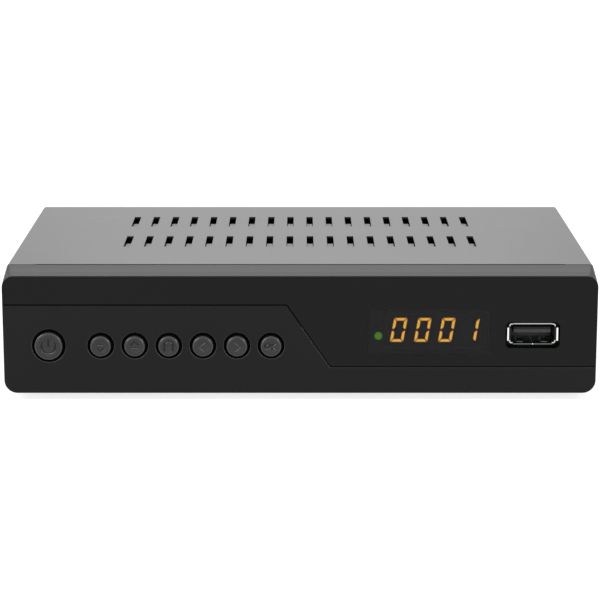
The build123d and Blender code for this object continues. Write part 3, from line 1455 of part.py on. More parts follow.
def main():
    os.makedirs("parts", exist_ok=True)
    for name, shape in make_nodes().items():
        solids = shape if isinstance(shape, list) else [shape]
        body = Compound(children=list(solids)) if len(solids) > 1 else solids[0]
        export_step(body, f"parts/{name}.step")


main()
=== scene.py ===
"""Looks of a satellite television receiver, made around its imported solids. Metres, +Z up."""

import json
import math

import bmesh
import bpy
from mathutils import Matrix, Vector


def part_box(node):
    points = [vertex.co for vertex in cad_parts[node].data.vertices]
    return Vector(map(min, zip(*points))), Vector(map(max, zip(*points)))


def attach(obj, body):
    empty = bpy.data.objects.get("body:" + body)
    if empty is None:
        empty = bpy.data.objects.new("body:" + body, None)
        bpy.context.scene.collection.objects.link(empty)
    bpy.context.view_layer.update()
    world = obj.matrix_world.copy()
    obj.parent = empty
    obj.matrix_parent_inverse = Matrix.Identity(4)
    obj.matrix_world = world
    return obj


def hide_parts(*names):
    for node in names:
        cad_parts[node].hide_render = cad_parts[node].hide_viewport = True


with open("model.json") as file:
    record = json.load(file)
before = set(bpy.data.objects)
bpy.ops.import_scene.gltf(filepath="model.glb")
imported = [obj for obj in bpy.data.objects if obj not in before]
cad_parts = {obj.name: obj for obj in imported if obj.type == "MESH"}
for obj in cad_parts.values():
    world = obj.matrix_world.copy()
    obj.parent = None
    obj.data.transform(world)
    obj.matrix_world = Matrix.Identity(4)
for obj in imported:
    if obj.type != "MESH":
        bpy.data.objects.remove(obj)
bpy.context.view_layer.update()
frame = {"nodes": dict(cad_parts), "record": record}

MM = 0.001

# ---------------------------------------------------------------------------- view and light
CAMERA_GAP = 0.598  # in front of the panel face
CAMERA_RISE = 0.1625  # above the panel's lower edge
CAMERA_LENS = 130.6
CAMERA_CLIP = (0.05, 50.0)
SENSOR_WIDTH = 36.0
FLOOR_SIZE = 12.0
FLOOR_GREY = 0.45
FLOOR_ROUGHNESS = 0.9
FLOOR_GLOW = 0.8  # added to the lit floor for the camera, gloss and glass
WHITE = 1.0
ROOM_LIGHT = 0.45  # of the world, for everything but the camera, gloss and glass
LIGHT_AIM = Vector((0.0, 0.0, 0.0))
SOFTBOXES = {  # place, width and height, radiance
    "overhead": ((0.0, 0.12, 1.15), (1.2, 0.65), 2.2),
    "left": ((-0.95, -0.25, 0.68), (0.7, 0.7), 4.0),
    "right": ((0.95, -0.25, 0.68), (0.5, 0.5), 4.0),
    "left_front": ((-0.5, -1.13, 0.22), (0.5, 0.42), 4.0),
    "right_front": ((0.5, -1.13, 0.22), (0.5, 0.42), 4.0),
    "rear_wall": ((0.0, 1.2, 0.95), (0.5, 1.0), 1.3),
}

# ---------------------------------------------------------------------------- buttons
CAP_EDGE = 0.5 * MM  # depth of the rounded rim
CAP_SHOULDER = 0.8 * MM  # its width across the face
CAP_DISH = 0.16 * MM  # hollow of the cap's face
CAP_STEPS = 96  # round the cap
CAP_CREASE = 40  # degrees from which an edge stays crisp
DISH_RINGS = 8
EDGE_TURNS = range(0, 91, 15)  # degrees at which the rounded rim has its rings
EDGE_POLISH = (0.03 * MM, 0.175 * MM)  # depth at which the rim's polish starts, and is full
SIGN_TUBE = 0.42 * MM  # radius of the tool that engraves the signs
SIGN_TUBE_RESOLUTION = 5
SIGN_DEPTH = 0.14 * MM
GROOVE_START = 0.02 * MM  # below the cap's face, where a sign's groove begins
LIT_SLOPE = 0.2  # upward tilt from which a groove's wall is glossy
COLLAR_OVERHANG = 1.38 * MM  # collar's reach past the cap
COLLAR_THICKNESS = 0.8 * MM
COLLAR_BACK = 3.35 * MM  # behind the panel face
STEM_RADIUS = 1.4 * MM

# ---------------------------------------------------------------------------- satellite input
THREAD_PITCH = 25.4 / 32 * MM
THREAD_DEPTH = 0.42 * MM
THREAD_STEPS = 72  # round the barrel
THREAD_RINGS = 8  # along each pitch
BARREL_STEP = 0.5 * MM  # the barrel is this much thinner under its nut
BARREL_CHAMFER = 0.5 * MM
BARREL_FIT = 0.03 * MM  # between the barrel and its insulator
BARREL_CREASE = 35  # degrees from which an edge stays crisp

# ---------------------------------------------------------------------------- display digits
SHOWN_BARS = ("abcdef", "abcdef", "abcdef", "bc")  # a is the top, then clockwise
DIGIT_PITCH = 6.84 * MM
DIGIT_HALF = 1.95 * MM  # half the width, before the lean
DIGIT_LEAN = math.tan(math.radians(10.0))
BAR_WIDTH = 0.9 * MM
BAR_GAP = 0.14 * MM  # between two bars at a corner
BAR_BEVEL = 0.4 * MM  # on the digit's outer corners
BAR_EDGE = 0.13 * MM  # dimmer rim of a bar
BAR_PROUD = 0.04 * MM  # of the display's face
BAR_DEPTH = 0.2 * MM
MIDDLE_GAP = 0.19 * MM  # from the digit's middle to the tips of the upright bars
TIP_INSET = 0.315 * MM  # from an upright bar's outer edge to its tip
TIP_INNER = 0.54 * MM  # from the tip up to the bar's inner edge
TIP_OUTER = 0.18 * MM  # from the tip up to the bar's outer edge

# ---------------------------------------------------------------------------- panel
# in a pair, a change of finish starts at the first place and is full at the second
BAND_DEPTH = (0.1 * MM, 0.2 * MM)  # polished band, behind the panel face
BAND_DROP = (3.8 * MM, 3.04 * MM)  # polished band, below the panel's top edge
RIM_START = 0.008 * MM  # behind the panel face, where the polish of the hole rims starts
RIM_SOFT = 0.004 * MM  # half width of that start
HOLE_ROUND = 0.3 * MM  # depth of the rounded hole rims
HOLES_TOP = (22.0 * MM, 20.9 * MM)  # above the floor, higher than the button holes
WINDOW_MARGIN = 1.6 * MM  # of the lens's clear window round the display and the status light
WINDOW_SOFT = 0.15 * MM  # half width of the change at the window's border
WINDOW_ALPHA = 0.62
LED_DOME = (0.84 * MM, 0.7 * MM)  # behind the status light's tip, where it glows

# ---------------------------------------------------------------------------- USB socket
# pairs as for the panel, apart from FINGER_GLINT_X
INSIDE_SHADE_DEPTH = (1.1 * MM, 1.2 * MM)  # behind the mouth, past the lips: painted shade of the inside
SIDE_PAINTED_RIM = 0.45 * MM  # width of a side lip's rim with a painted bright reflection
SIDE_PAINTED_RIM_HALF = 1.95 * MM  # half its height
LEVEL_PAINTED_RIM = 0.38 * MM  # height of the upper and lower lips' rims with a painted reflection, lighter than the painted shade between them
LEVEL_PAINTED_RIM_HALF = 5.55 * MM  # half their width
SEAM_GLINT_HALF = 0.14 * MM  # half width of a painted highlight on the seam in the lower lip
SEAM_GLINT_RISE = (0.76 * MM, 0.38 * MM)  # of the painted highlight on the seam, above the shell's floor
FINGER_GLINT_X = (2.5 * MM, 4.3 * MM)  # near and far side of the painted glint on a sprung finger, from the shell's middle
FINGER_GLINT_DEPTH = (1.0 * MM, 1.5 * MM)  # painted glint on a finger, behind the mouth
FINGER_GLINT_RISE = (1.43 * MM, 1.3 * MM)  # painted glint on a finger, above the shell's floor
TONGUE_SHADE = (1.65 * MM, 1.35 * MM)  # below the tongue's top, in the shade of the upper lip

# ---------------------------------------------------------------------------- texture
SOFT_EDGE = 0.03 * MM  # half width of the change at a finish's border
EVEN = (1.0, 1.0, 1.0)  # not stretched along any axis
MOTTLE_DETAIL = 3.0
GRAIN_DETAIL = 2.0


# ---------------------------------------------------------------------------- materials
class Finish:
    """A node material under construction, in the object's own coordinates."""

    def __init__(self, name, color, roughness, metallic=0.0, specular=0.5):
        self.material = bpy.data.materials.new(name)
        self.material.use_nodes = True
        self.nodes = self.material.node_tree.nodes
        self.links = self.material.node_tree.links
        self.shader = self.nodes["Principled BSDF"]
        self.place = self.nodes.new("ShaderNodeTexCoord").outputs["Object"]
        self.shader.inputs["Base Color"].default_value = (*color, 1.0)
        self.shader.inputs["Roughness"].default_value = roughness
        self.shader.inputs["Metallic"].default_value = metallic
        self.shader.inputs["Specular IOR Level"].default_value = specular
        self.color = color
        self.roughness = roughness

    def noise(self, size, detail, stretch):
        """Noise whose features are about size metres across, longer along a stretched axis."""
        mapping = self.nodes.new("ShaderNodeMapping")
        mapping.inputs["Scale"].default_value = [1.0 / (size * s) for s in stretch]
        texture = self.nodes.new("ShaderNodeTexNoise")
        texture.inputs["Scale"].default_value = 1.0
        texture.inputs["Detail"].default_value = detail
        self.links.new(self.place, mapping.inputs["Vector"])
        self.links.new(mapping.outputs["Vector"], texture.inputs["Vector"])
        return texture.outputs["Fac"]

    def between(self, value, low, high):
        """A value from 0 to 1 brought to the range from low to high."""
        node = self.nodes.new("ShaderNodeMapRange")
        node.inputs["To Min"].default_value = low
        node.inputs["To Max"].default_value = high
        self.links.new(value, node.inputs["Value"])
        return node.outputs["Result"]

    def tint(self, value, first, second):
        """Colour that goes from first to second with a value."""
        ramp = self.nodes.new("ShaderNodeMix")
        ramp.data_type = "RGBA"
        ramp.inputs["A"].default_value = (*first, 1.0)
        ramp.inputs["B"].default_value = (*second, 1.0)
        self.links.new(value, ramp.inputs["Factor"])
        self.links.new(ramp.outputs["Result"], self.shader.inputs["Base Color"])
        return self

    def along(self, axis, start, end):
        """A value from 0 to 1 between two places on an axis of the object."""
        parts = self.nodes.new("ShaderNodeSeparateXYZ")
        ramp = self.nodes.new("ShaderNodeMapRange")
        ramp.inputs["From Min"].default_value = start
        ramp.inputs["From Max"].default_value = end
        self.links.new(self.place, parts.inputs["Vector"])
        self.links.new(parts.outputs[axis], ramp.inputs["Value"])
        return ramp.outputs["Result"]

    def combine(self, operation, first, second):
        """Two values joined by a math operation."""
        node = self.nodes.new("ShaderNodeMath")
        node.operation = operation
        self.links.new(first, node.inputs[0])
        self.links.new(second, node.inputs[1])
        return node.outputs["Value"]

    def both(self, first, second):
        """1 where two values are 1."""
        return self.combine("MULTIPLY", first, second)

    def either(self, first, second):
        """1 where one of two values is 1."""
        return self.combine("MAXIMUM", first, second)

    def within(self, axis, low, high, soft=SOFT_EDGE):
        """1 between two places on an axis of the object, and 0 beyond them."""
        rising = self.along(axis, low - soft, low + soft)
        falling = self.along(axis, high + soft, high - soft)
        return self.both(rising, falling)

    def fade(self, value, color):
        """Base colour that turns to another one with a value."""
        base = self.shader.inputs["Base Color"]
        mix = self.nodes.new("ShaderNodeMix")
        mix.data_type = "RGBA"
        mix.inputs["B"].default_value = (*color, 1.0)
        self.links.new(base.links[0].from_socket, mix.inputs["A"])
        self.links.new(value, mix.inputs["Factor"])
        self.links.new(mix.outputs["Result"], base)
        return self

    def mottle(self, size, share, rough_range=0.06, stretch=EVEN):
        """Slow change of colour by a share of itself, and of roughness."""
        value = self.noise(size, MOTTLE_DETAIL, stretch)
        dark = [c * (1 - share) for c in self.color]
        light = [min(1.0, c * (1 + share)) for c in self.color]
        self.tint(value, dark, light)
        rough = self.between(value, self.roughness + rough_range, self.roughness - rough_range)
        self.links.new(rough, self.shader.inputs["Roughness"])
        return self

    def grain(self, size, height, stretch=EVEN):
        """Fine relief, height metres deep."""
        bump = self.nodes.new("ShaderNodeBump")
        bump.inputs["Distance"].default_value = height
        self.links.new(self.noise(size, GRAIN_DETAIL, stretch), bump.inputs["Height"])
        self.links.new(bump.outputs["Normal"], self.shader.inputs["Normal"])
        return self


def glow(finish, color, strength):
    finish.shader.inputs["Emission Color"].default_value = (*color, 1.0)
    finish.shader.inputs["Emission Strength"].default_value = strength
    return finish


def cover_paint():
    """Satin black powder coat on steel: a fine orange peel."""
    finish = Finish("cover_paint", (0.018, 0.018, 0.0185), 0.28, specular=0.6)
    return finish.mottle(30 * MM, 0.08, 0.02).grain(0.35 * MM, 0.004 * MM)


def tray_paint():
    finish = Finish("tray_paint", (0.018, 0.018, 0.0185), 0.34, specular=0.45)
    return finish.mottle(30 * MM, 0.08, 0.03).grain(0.35 * MM, 0.004 * MM)


def bezel_plastic():
    """Black moulding with a fine spark-eroded grain; the band above the face and the hole rims shine."""
    finish = Finish("bezel_plastic", (0.0082, 0.0082, 0.0089), 0.42, specular=0.125)
    finish.mottle(14 * MM, 0.10, 0.03).grain(0.22 * MM, 0.004 * MM)
    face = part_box("front_bezel")[0].y
    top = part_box("front_lens")[1].z
    behind = finish.along("Y", face + BAND_DEPTH[0], face + BAND_DEPTH[1])
    above = finish.along("Z", top - BAND_DROP[0], top - BAND_DROP[1])
    band = finish.both(behind, above)
    rims = finish.within("Y", face + RIM_START, face + HOLE_ROUND, RIM_SOFT)
    holes = finish.both(rims, finish.along("Z", *HOLES_TOP))
    finish.links.new(finish.either(band, holes), finish.shader.inputs["Coat Weight"])
    finish.shader.inputs["Coat Roughness"].default_value = 0.35
    return finish


def smoked_lens():
    """Tinted acrylic with a soft gloss, backed with black except in a window before the display."""
    finish = Finish("smoked_lens", (0.004, 0.004, 0.0042), 0.16, specular=0.14)
    finish.mottle(40 * MM, 0.15, 0.02)
    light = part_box("status_led")[0]
    low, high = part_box("display_module")
    beside = finish.within("X", light.x - WINDOW_MARGIN, high.x + WINDOW_MARGIN, WINDOW_SOFT)
    level = finish.within("Z", low.z - WINDOW_MARGIN, high.z + WINDOW_MARGIN, WINDOW_SOFT)
    window = finish.both(beside, level)
    finish.fade(window, (0.0165, 0.0163, 0.0166))
    finish.links.new(finish.between(window, 1.0, WINDOW_ALPHA), finish.shader.inputs["Alpha"])
    finish.material.surface_render_method = "BLENDED"
    return finish


def foot_rubber():
    finish = Finish("foot_rubber", (0.016, 0.016, 0.016), 0.8, specular=0.3)
    return finish.mottle(3 * MM, 0.15).grain(0.3 * MM, 0.02 * MM)


def black_screw():
    finish = Finish("black_screw", (0.03, 0.03, 0.031), 0.35, metallic=0.6)
    return finish.mottle(0.8 * MM, 0.2).grain(0.25 * MM, 0.006 * MM)


def zinc_screw():
    finish = Finish("zinc_screw", (0.56, 0.57, 0.60), 0.32, metallic=1.0)
    return finish.mottle(0.9 * MM, 0.08).grain(0.3 * MM, 0.004 * MM)


def circuit_board():
    """Solder mask with slightly raised tracks in a regular mesh under it."""
    finish = Finish("circuit_board", (0.012, 0.085, 0.032), 0.34)
    tracks = finish.nodes.new("ShaderNodeTexBrick")
    tracks.inputs["Scale"].default_value = 1.0
    tracks.inputs["Brick Width"].default_value = 4.2 * MM
    tracks.inputs["Row Height"].default_value = 1.3 * MM
    tracks.inputs["Mortar Size"].default_value = 0.18 * MM
    tracks.inputs["Color1"].default_value = (0.010, 0.075, 0.028, 1.0)
    tracks.inputs["Color2"].default_value = (0.014, 0.095, 0.036, 1.0)
    tracks.inputs["Mortar"].default_value = (0.020, 0.14, 0.055, 1.0)
    finish.links.new(finish.place, tracks.inputs["Vector"])
    finish.links.new(tracks.outputs["Color"], finish.shader.inputs["Base Color"])
    return finish.grain(0.5 * MM, 0.01 * MM)


def moulding(name, color, roughness=0.5, specular=0.4):
    """Plain fine-grained plastic."""
    finish = Finish(name, color, roughness, specular=specular)
    return finish.mottle(5 * MM, 0.08).grain(0.25 * MM, 0.006 * MM)


def metal(name, color, roughness, brushed=EVEN):
    finish = Finish(name, color, roughness, metallic=1.0)
    return finish.mottle(1.5 * MM, 0.06, 0.05, brushed).grain(0.3 * MM, 0.003 * MM, brushed)


def shell_steel_painted_light():
    """Steel of the USB shell with painted light: painted reflections on its lips, brightest at the sides
    and darkest below, painted shade on the inside, and painted glints on the seam and the sprung
    fingers.
    """
    finish = Finish("shell_steel_painted_light", (0.5, 0.49, 0.48), 0.2, metallic=1.0)
    finish.mottle(1.5 * MM, 0.06, 0.05).grain(0.3 * MM, 0.003 * MM)
    low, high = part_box("usb_shell")
    middle = (low + high) / 2
    # painted shade for the inside of the shell
    dark = (0.03, 0.028, 0.028)

    # painted reflection on the upper lip, painted shade on the lower lip, and painted shade between them
    across = finish.within("X", middle.x - LEVEL_PAINTED_RIM_HALF, middle.x + LEVEL_PAINTED_RIM_HALF)
    upper_lip_reflection = finish.both(across, finish.along("Z", middle.z, high.z))
    finish.fade(upper_lip_reflection, (0.38, 0.37, 0.36))
    lower_lip_shade = finish.both(across, finish.along("Z", middle.z, low.z))
    finish.fade(lower_lip_shade, (0.10, 0.098, 0.095))
    shade_between_lips = finish.within("Z", low.z + LEVEL_PAINTED_RIM, high.z - LEVEL_PAINTED_RIM)
    finish.fade(finish.both(across, shade_between_lips), dark)

    # painted bright reflection on the side lips, and painted shade between them
    beside = finish.within("Z", middle.z - SIDE_PAINTED_RIM_HALF, middle.z + SIDE_PAINTED_RIM_HALF)
    finish.fade(beside, (0.8, 0.79, 0.77))
    shade_between_sides = finish.within("X", low.x + SIDE_PAINTED_RIM, high.x - SIDE_PAINTED_RIM)
    finish.fade(finish.both(beside, shade_between_sides), dark)
    # painted shade deeper inside, past the lips
    finish.fade(finish.along("Y", low.y + INSIDE_SHADE_DEPTH[0], low.y + INSIDE_SHADE_DEPTH[1]), dark)

    # painted highlight on the seam in the lower lip
    seam_glint = finish.within("X", middle.x - SEAM_GLINT_HALF, middle.x + SEAM_GLINT_HALF)
    seam_glint_low = finish.along("Z", low.z + SEAM_GLINT_RISE[0], low.z + SEAM_GLINT_RISE[1])
    finish.fade(finish.both(seam_glint, seam_glint_low), (0.8, 0.8, 0.8))

    # painted glints on the sprung fingers
    near, far = FINGER_GLINT_X
    left = finish.within("X", middle.x - far, middle.x - near)
    right = finish.within("X", middle.x + near, middle.x + far)
    finger_glints = finish.either(left, right)
    finger_glints = finish.both(finger_glints, finish.along("Y", low.y + FINGER_GLINT_DEPTH[0], low.y + FINGER_GLINT_DEPTH[1]))
    finger_glints = finish.both(finger_glints, finish.along("Z", low.z + FINGER_GLINT_RISE[0], low.z + FINGER_GLINT_RISE[1]))
    return finish.fade(finger_glints, (0.45, 0.43, 0.41))


def contact_painted_shade():
    """Contact strips darkened with painted shade, for the shade of the USB tongue."""
    return metal("contact_painted_shade", (0.10, 0.08, 0.06), 0.4)


def button_plastic(name):
    return moulding(name, (0.017, 0.017, 0.0182), 0.36, 0.33)


def cap_rim():
    """The buttons' plastic, polished towards the outer edge of the rounded rim."""
    finish = button_plastic("cap_rim")
    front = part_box("power_button")[0].y
    edge = finish.along("Y", front + EDGE_POLISH[0], front + EDGE_POLISH[1])
    finish.links.new(edge, finish.shader.inputs["Coat Weight"])
    finish.shader.inputs["Coat Roughness"].default_value = 0.25
    return finish


def tongue_plastic():
    """Dark insulator, darker where the shell's upper lip shades it."""
    finish = Finish("tongue_plastic", (0.065, 0.065, 0.071), 0.4, specular=0.15)
    finish.mottle(1.0 * MM, 0.15).grain(0.25 * MM, 0.006 * MM)
    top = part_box("usb_tongue")[1].z
    shade = finish.along("Z", top - TONGUE_SHADE[0], top - TONGUE_SHADE[1])
    return finish.fade(shade, (0.012, 0.012, 0.013))


def segment_amber():
    """Lit bar, with faint hot spots from the dies behind it."""
    finish = Finish("segment_amber", (0.55, 0.30, 0.06), 0.4)
    return glow(finish.mottle(1.2 * MM, 0.1), (1.0, 0.54, 0.077), 4.7)


def segment_dark():
    finish = Finish("segment_dark", (0.040, 0.034, 0.032), 0.45)
    return finish.mottle(1.0 * MM, 0.1)


def led_green():
    """Light with a glowing dome and a dull body behind it."""
    finish = Finish("led_green", (0.02, 0.06, 0.015), 0.3)
    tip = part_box("status_led")[0].y
    glow(finish.mottle(0.8 * MM, 0.1), (0.115, 0.46, 0.02), 0.0)
    dome = finish.along("Y", tip + LED_DOME[0], tip + LED_DOME[1])
    finish.links.new(finish.between(dome, 0.0, 2.3), finish.shader.inputs["Emission Strength"])
    return finish


def capacitor_sleeve():
    """Shrunk sleeve, ribbed a little round the can."""
    finish = Finish("capacitor_sleeve", (0.012, 0.014, 0.03), 0.3)
    return finish.mottle(2 * MM, 0.15).grain(0.6 * MM, 0.01 * MM, (1.0, 1.0, 4.0))


MATERIALS = {
    "cover_paint": cover_paint(),
    "tray_paint": tray_paint(),
    "bezel_plastic": bezel_plastic(),
    "smoked_lens": smoked_lens(),
    "foot_rubber": foot_rubber(),
    "black_screw": black_screw(),
    "zinc_screw": zinc_screw(),
    "circuit_board": circuit_board(),
    "switch_plastic": moulding("switch_plastic", (0.014, 0.014, 0.014)),
    "display_black": moulding("display_black", (0.010, 0.010, 0.011), 0.4),
    "segment_amber": segment_amber(),
    "segment_dark": segment_dark(),
    "led_green": led_green(),
    "white_nylon": moulding("white_nylon", (0.62, 0.61, 0.57), 0.45),
    "bright_steel": metal("bright_steel", (0.66, 0.65, 0.63), 0.24),
    "white_insulator": moulding("white_insulator", (0.42, 0.42, 0.41), 0.42),
    "dark_insulator": tongue_plastic(),
    "contact_metal": metal("contact_metal", (0.80, 0.60, 0.28), 0.25),
    "chip_black": moulding("chip_black", (0.016, 0.016, 0.017), 0.55),
    "sink_aluminium": metal("sink_aluminium", (0.62, 0.63, 0.64), 0.34, (1.0, 8.0, 1.0)),
    "capacitor_sleeve": capacitor_sleeve(),
    "tin_steel": metal("tin_steel", (0.60, 0.60, 0.57), 0.30, (6.0, 1.0, 1.0)),
    "nickel": metal("nickel", (0.68, 0.66, 0.61), 0.18),
    "socket_black": moulding("socket_black", (0.014, 0.014, 0.014), 0.42),
    "orange_insulator": moulding("orange_insulator", (0.72, 0.16, 0.02), 0.36),
    "button_plastic": button_plastic("button_plastic"),
    "plunger_plastic": moulding("plunger_plastic", (0.25, 0.25, 0.25), 0.5),
}
# nodes that don't take the plain finish of their slot
NODE_FINISHES = {"usb_shell": shell_steel_painted_light(), "usb_contacts": contact_painted_shade()}
CAP_SIDE_SHADE = moulding("cap_side_painted_shade", (0.008, 0.008, 0.008), 0.7, 0.1)  # side of a button: a darker, matt copy of its plastic, painted shade
CAP_SIGN = moulding("cap_sign", (0.012, 0.012, 0.0125), 0.6, 0.2)  # shaded walls of an engraved sign
CAP_RIM = cap_rim()  # rounded rim of a button, and the lit walls of its sign
AMBER_EDGE = glow(moulding("amber_edge", (0.4, 0.15, 0.02)), (1.0, 0.36, 0.02), 2.0)  # rim of a lit bar


def paint(piece, *finishes):
    piece.data.materials.clear()
    for finish in finishes:
        piece.data.materials.append(finish.material)


def dress_nodes():
    """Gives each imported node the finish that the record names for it."""
    for part in frame["record"]["subparts"]:
        node = part["node"]
        paint(frame["nodes"][node], NODE_FINISHES.get(node, MATERIALS[part["material_slot"]]))


# ---------------------------------------------------------------------------- mesh helpers
def add_piece(name, mesh, slot, body):
    piece = bpy.data.objects.new(name, mesh)
    bpy.context.scene.collection.objects.link(piece)
    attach(piece, body)
    paint(piece, MATERIALS[slot])
    return piece


def lathe(name, profile, x, z, steps, wave=None):
    """Closed (radius, y) profile turned about an axis along Y; wave(radius, y, turn) moves the skin."""
    mesh = bpy.data.meshes.new(name)
    form = bmesh.new()
    rings = []
    for radius, y in profile:
        if radius == 0.0:
            rings.append([form.verts.new((x, y, z))])
            continue
        ring = []
        for step in range(steps):
            turn = 2 * math.pi * step / steps
            reach = wave(radius, y, turn) if wave else radius
            ring.append(form.verts.new((x + reach * math.sin(turn), y, z + reach * math.cos(turn))))
        rings.append(ring)
    for first, second in zip(rings, rings[1:] + rings[:1]):
        for step in range(steps):
            after = (step + 1) % steps
            corners = [
                first[step % len(first)],
                first[after % len(first)],
                second[after % len(second)],
                second[step % len(second)],
            ]
            distinct = list(dict.fromkeys(corners))
            if len(distinct) > 2:
                form.faces.new(distinct)
    bmesh.ops.recalc_face_normals(form, faces=form.faces)
    form.to_mesh(mesh)
    form.free()
    return mesh


def smooth(piece, degrees):
    """Smooth shading, with edges sharper than the angle left crisp."""
    mesh = piece.data
    form = bmesh.new()
    form.from_mesh(mesh)
    limit = math.radians(degrees)
    for face in form.faces:
        face.smooth = True
    for edge in form.edges:
        edge.smooth = len(edge.link_faces) == 2 and edge.calc_face_angle() < limit
    form.to_mesh(mesh)
    form.free()


def groove_tool(name, strokes, middle, face):
    """Tubes along the strokes, sunk a little in the cap's hollow face."""
    curve = bpy.data.curves.new(name, "CURVE")
    curve.dimensions = "3D"
    curve.bevel_depth = SIGN_TUBE
    curve.bevel_resolution = SIGN_TUBE_RESOLUTION
    curve.use_fill_caps = True
    for stroke in strokes:
        spline = curve.splines.new("POLY")
        spline.points.add(len(stroke) - 1)
        for point, (u, v) in zip(spline.points, stroke):
            y = face(math.hypot(u, v) * MM) + SIGN_DEPTH - SIGN_TUBE
            point.co = (middle.x + u * MM, y, middle.z + v * MM, 1.0)
    holder = bpy.data.objects.new(name, curve)
    bpy.context.scene.collection.objects.link(holder)
    mesh = bpy.data.meshes.new_from_object(holder.evaluated_get(bpy.context.evaluated_depsgraph_get()))
    bpy.data.objects.remove(holder)
    tool = bpy.data.objects.new(name, mesh)
    bpy.context.scene.collection.objects.link(tool)
    return tool


def carve(piece, tool):
    """Cuts a tool's form out of a piece and removes the tool."""
    cut = piece.modifiers.new("carve", "BOOLEAN")
    cut.operation = "DIFFERENCE"
    cut.solver = "EXACT"
    cut.use_self = True
    cut.object = tool
    bpy.context.view_layer.update()
    shaped = bpy.data.meshes.new_from_object(piece.evaluated_get(bpy.context.evaluated_depsgraph_get()))
    piece.modifiers.clear()
    piece.data = shaped
    bpy.data.objects.remove(tool)


# ---------------------------------------------------------------------------- button signs
# strokes in millimetres from the button's middle: (u, v) is to the right and up
def arc(radius, start, end, steps, u, v):
    """Points round an arc about (u, v); 0 degrees is up, and angles grow clockwise."""
    turns = [math.radians(start + (end - start) * i / steps) for i in range(steps + 1)]
    return [(u + radius * math.sin(t), v + radius * math.cos(t)) for t in turns]


def power_sign():
    """Ring that is open at the top, with an upright bar in the gap."""
    half_gap = 47
    ring = arc(1.9, half_gap, 360 - half_gap, steps=36, u=0.0, v=-0.1)
    return [ring, [(0.0, -0.15), (0.0, 2.1)]]


def chevron_sign(direction, half_bar):
    """Chevron up or down with a bar behind it."""
    tip = 1.4 * direction
    base = 0.4 * direction
    half_base = 0.95
    bar = -0.45 * direction
    chevron = [(-half_base, base), (0.0, tip), (half_base, base)]
    return [chevron, [(-half_bar, bar), (half_bar, bar)]]


def menu_sign():
    """Arch with open feet."""
    half = 1.2
    foot = -1.3
    spring = 0.3
    crown = arc(half, -90, 90, steps=16, u=0.0, v=spring)
    return [[(-half, foot), (-half, spring)] + crown + [(half, foot)]]


def arrow_sign(direction):
    """Plain arrowhead to one side."""
    tip = 1.1 * direction
    back = -0.6 * direction
    level = -0.15
    half = 1.3
    return [[(back, level + half), (tip, level), (back, level - half)]]


def okay_sign():
    """Round O and a K."""
    ring = arc(0.65, 0, 360, steps=24, u=-0.95, v=0.0)
    stem = 0.35
    arm = 1.35
    half = 0.8
    return [ring, [(stem, half), (stem, -half)], [(arm, half), (stem, 0.0), (arm, -half)]]


SIGNS = {
    "power_button": power_sign(),
    "key_1": chevron_sign(-1, 0.85),
    "key_2": chevron_sign(1, 1.2),
    "key_3": menu_sign(),
    "key_4": arrow_sign(-1),
    "key_5": arrow_sign(1),
    "key_6": okay_sign(),
}


def make_cap(node):
    """Button with a softly hollow, engraved face, in place of the plain solid."""
    low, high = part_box(node)
    middle = (low + high) / 2
    collar = (high.x - low.x) / 2
    radius = collar - COLLAR_OVERHANG
    collar_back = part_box("front_bezel")[0].y + COLLAR_BACK
    collar_front = collar_back - COLLAR_THICKNESS
    hollow = radius - CAP_SHOULDER

    def face(distance):
        share = min(1.0, distance / hollow)
        return low.y + CAP_DISH * (1 - share**2)

    profile = [(hollow * i / DISH_RINGS, face(hollow * i / DISH_RINGS)) for i in range(DISH_RINGS)]
    for turn in EDGE_TURNS:
        out = CAP_SHOULDER * math.sin(math.radians(turn))
        back = CAP_EDGE * (1 - math.cos(math.radians(turn)))
        profile.append((hollow + out, low.y + back))
    profile += [
        (radius, collar_front),
        (collar, collar_front),
        (collar, collar_back),
        (STEM_RADIUS, collar_back),
        (STEM_RADIUS, high.y),
        (0.0, high.y),
    ]
    mesh = lathe(f"{node}_cap", profile, middle.x, middle.z, CAP_STEPS)
    cap = add_piece(f"{node}_cap", mesh, "button_plastic", node)
    carve(cap, groove_tool(f"{node}_sign", SIGNS[node], middle, face))
    plain = MATERIALS["button_plastic"]
    finishes = [plain, CAP_RIM, CAP_SIDE_SHADE, CAP_SIGN]
    paint(cap, *finishes)
    for facet in cap.data.polygons:
        place = facet.center
        distance = math.hypot(place.x - middle.x, place.z - middle.z)
        # painted shade: the cap's side gets a darker, matt copy of its plastic
        if place.y > low.y + CAP_EDGE:
            finish = CAP_SIDE_SHADE
        elif distance > hollow:
            finish = CAP_RIM
        elif place.y > face(distance) + GROOVE_START:
            finish = CAP_RIM if facet.normal.z > LIT_SLOPE else CAP_SIGN
        else:
            finish = plain
        facet.material_index = finishes.index(finish)
    smooth(cap, CAP_CREASE)
    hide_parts(node)


# ---------------------------------------------------------------------------- display digits
def bar_outline(letter, half):
    """Corners of one bar, from the middle of its digit; half is half the digit's height."""
    miter = BAR_GAP / math.sqrt(8)
    inner = DIGIT_HALF - BAR_WIDTH
    bevel = BAR_BEVEL / 2
    if letter in "ad":
        end = [
            (DIGIT_HALF - BAR_BEVEL, half),
            (DIGIT_HALF - bevel - miter, half - bevel + miter),
            (inner - 2 * miter, half - BAR_WIDTH),
        ]
        points = end + [(-u, v) for u, v in reversed(end)]
    else:
        points = [
            (DIGIT_HALF, half - BAR_BEVEL),
            (DIGIT_HALF - bevel + miter, half - bevel - miter),
            (inner, half - BAR_WIDTH - 2 * miter),
            (inner, MIDDLE_GAP + TIP_INNER),
            (DIGIT_HALF - TIP_INSET, MIDDLE_GAP),
            (DIGIT_HALF, MIDDLE_GAP + TIP_OUTER),
        ]
    across = -1 if letter in "ef" else 1
    up = -1 if letter in "cde" else 1
    return [(across * u + up * v * DIGIT_LEAN, up * v) for u, v in points]


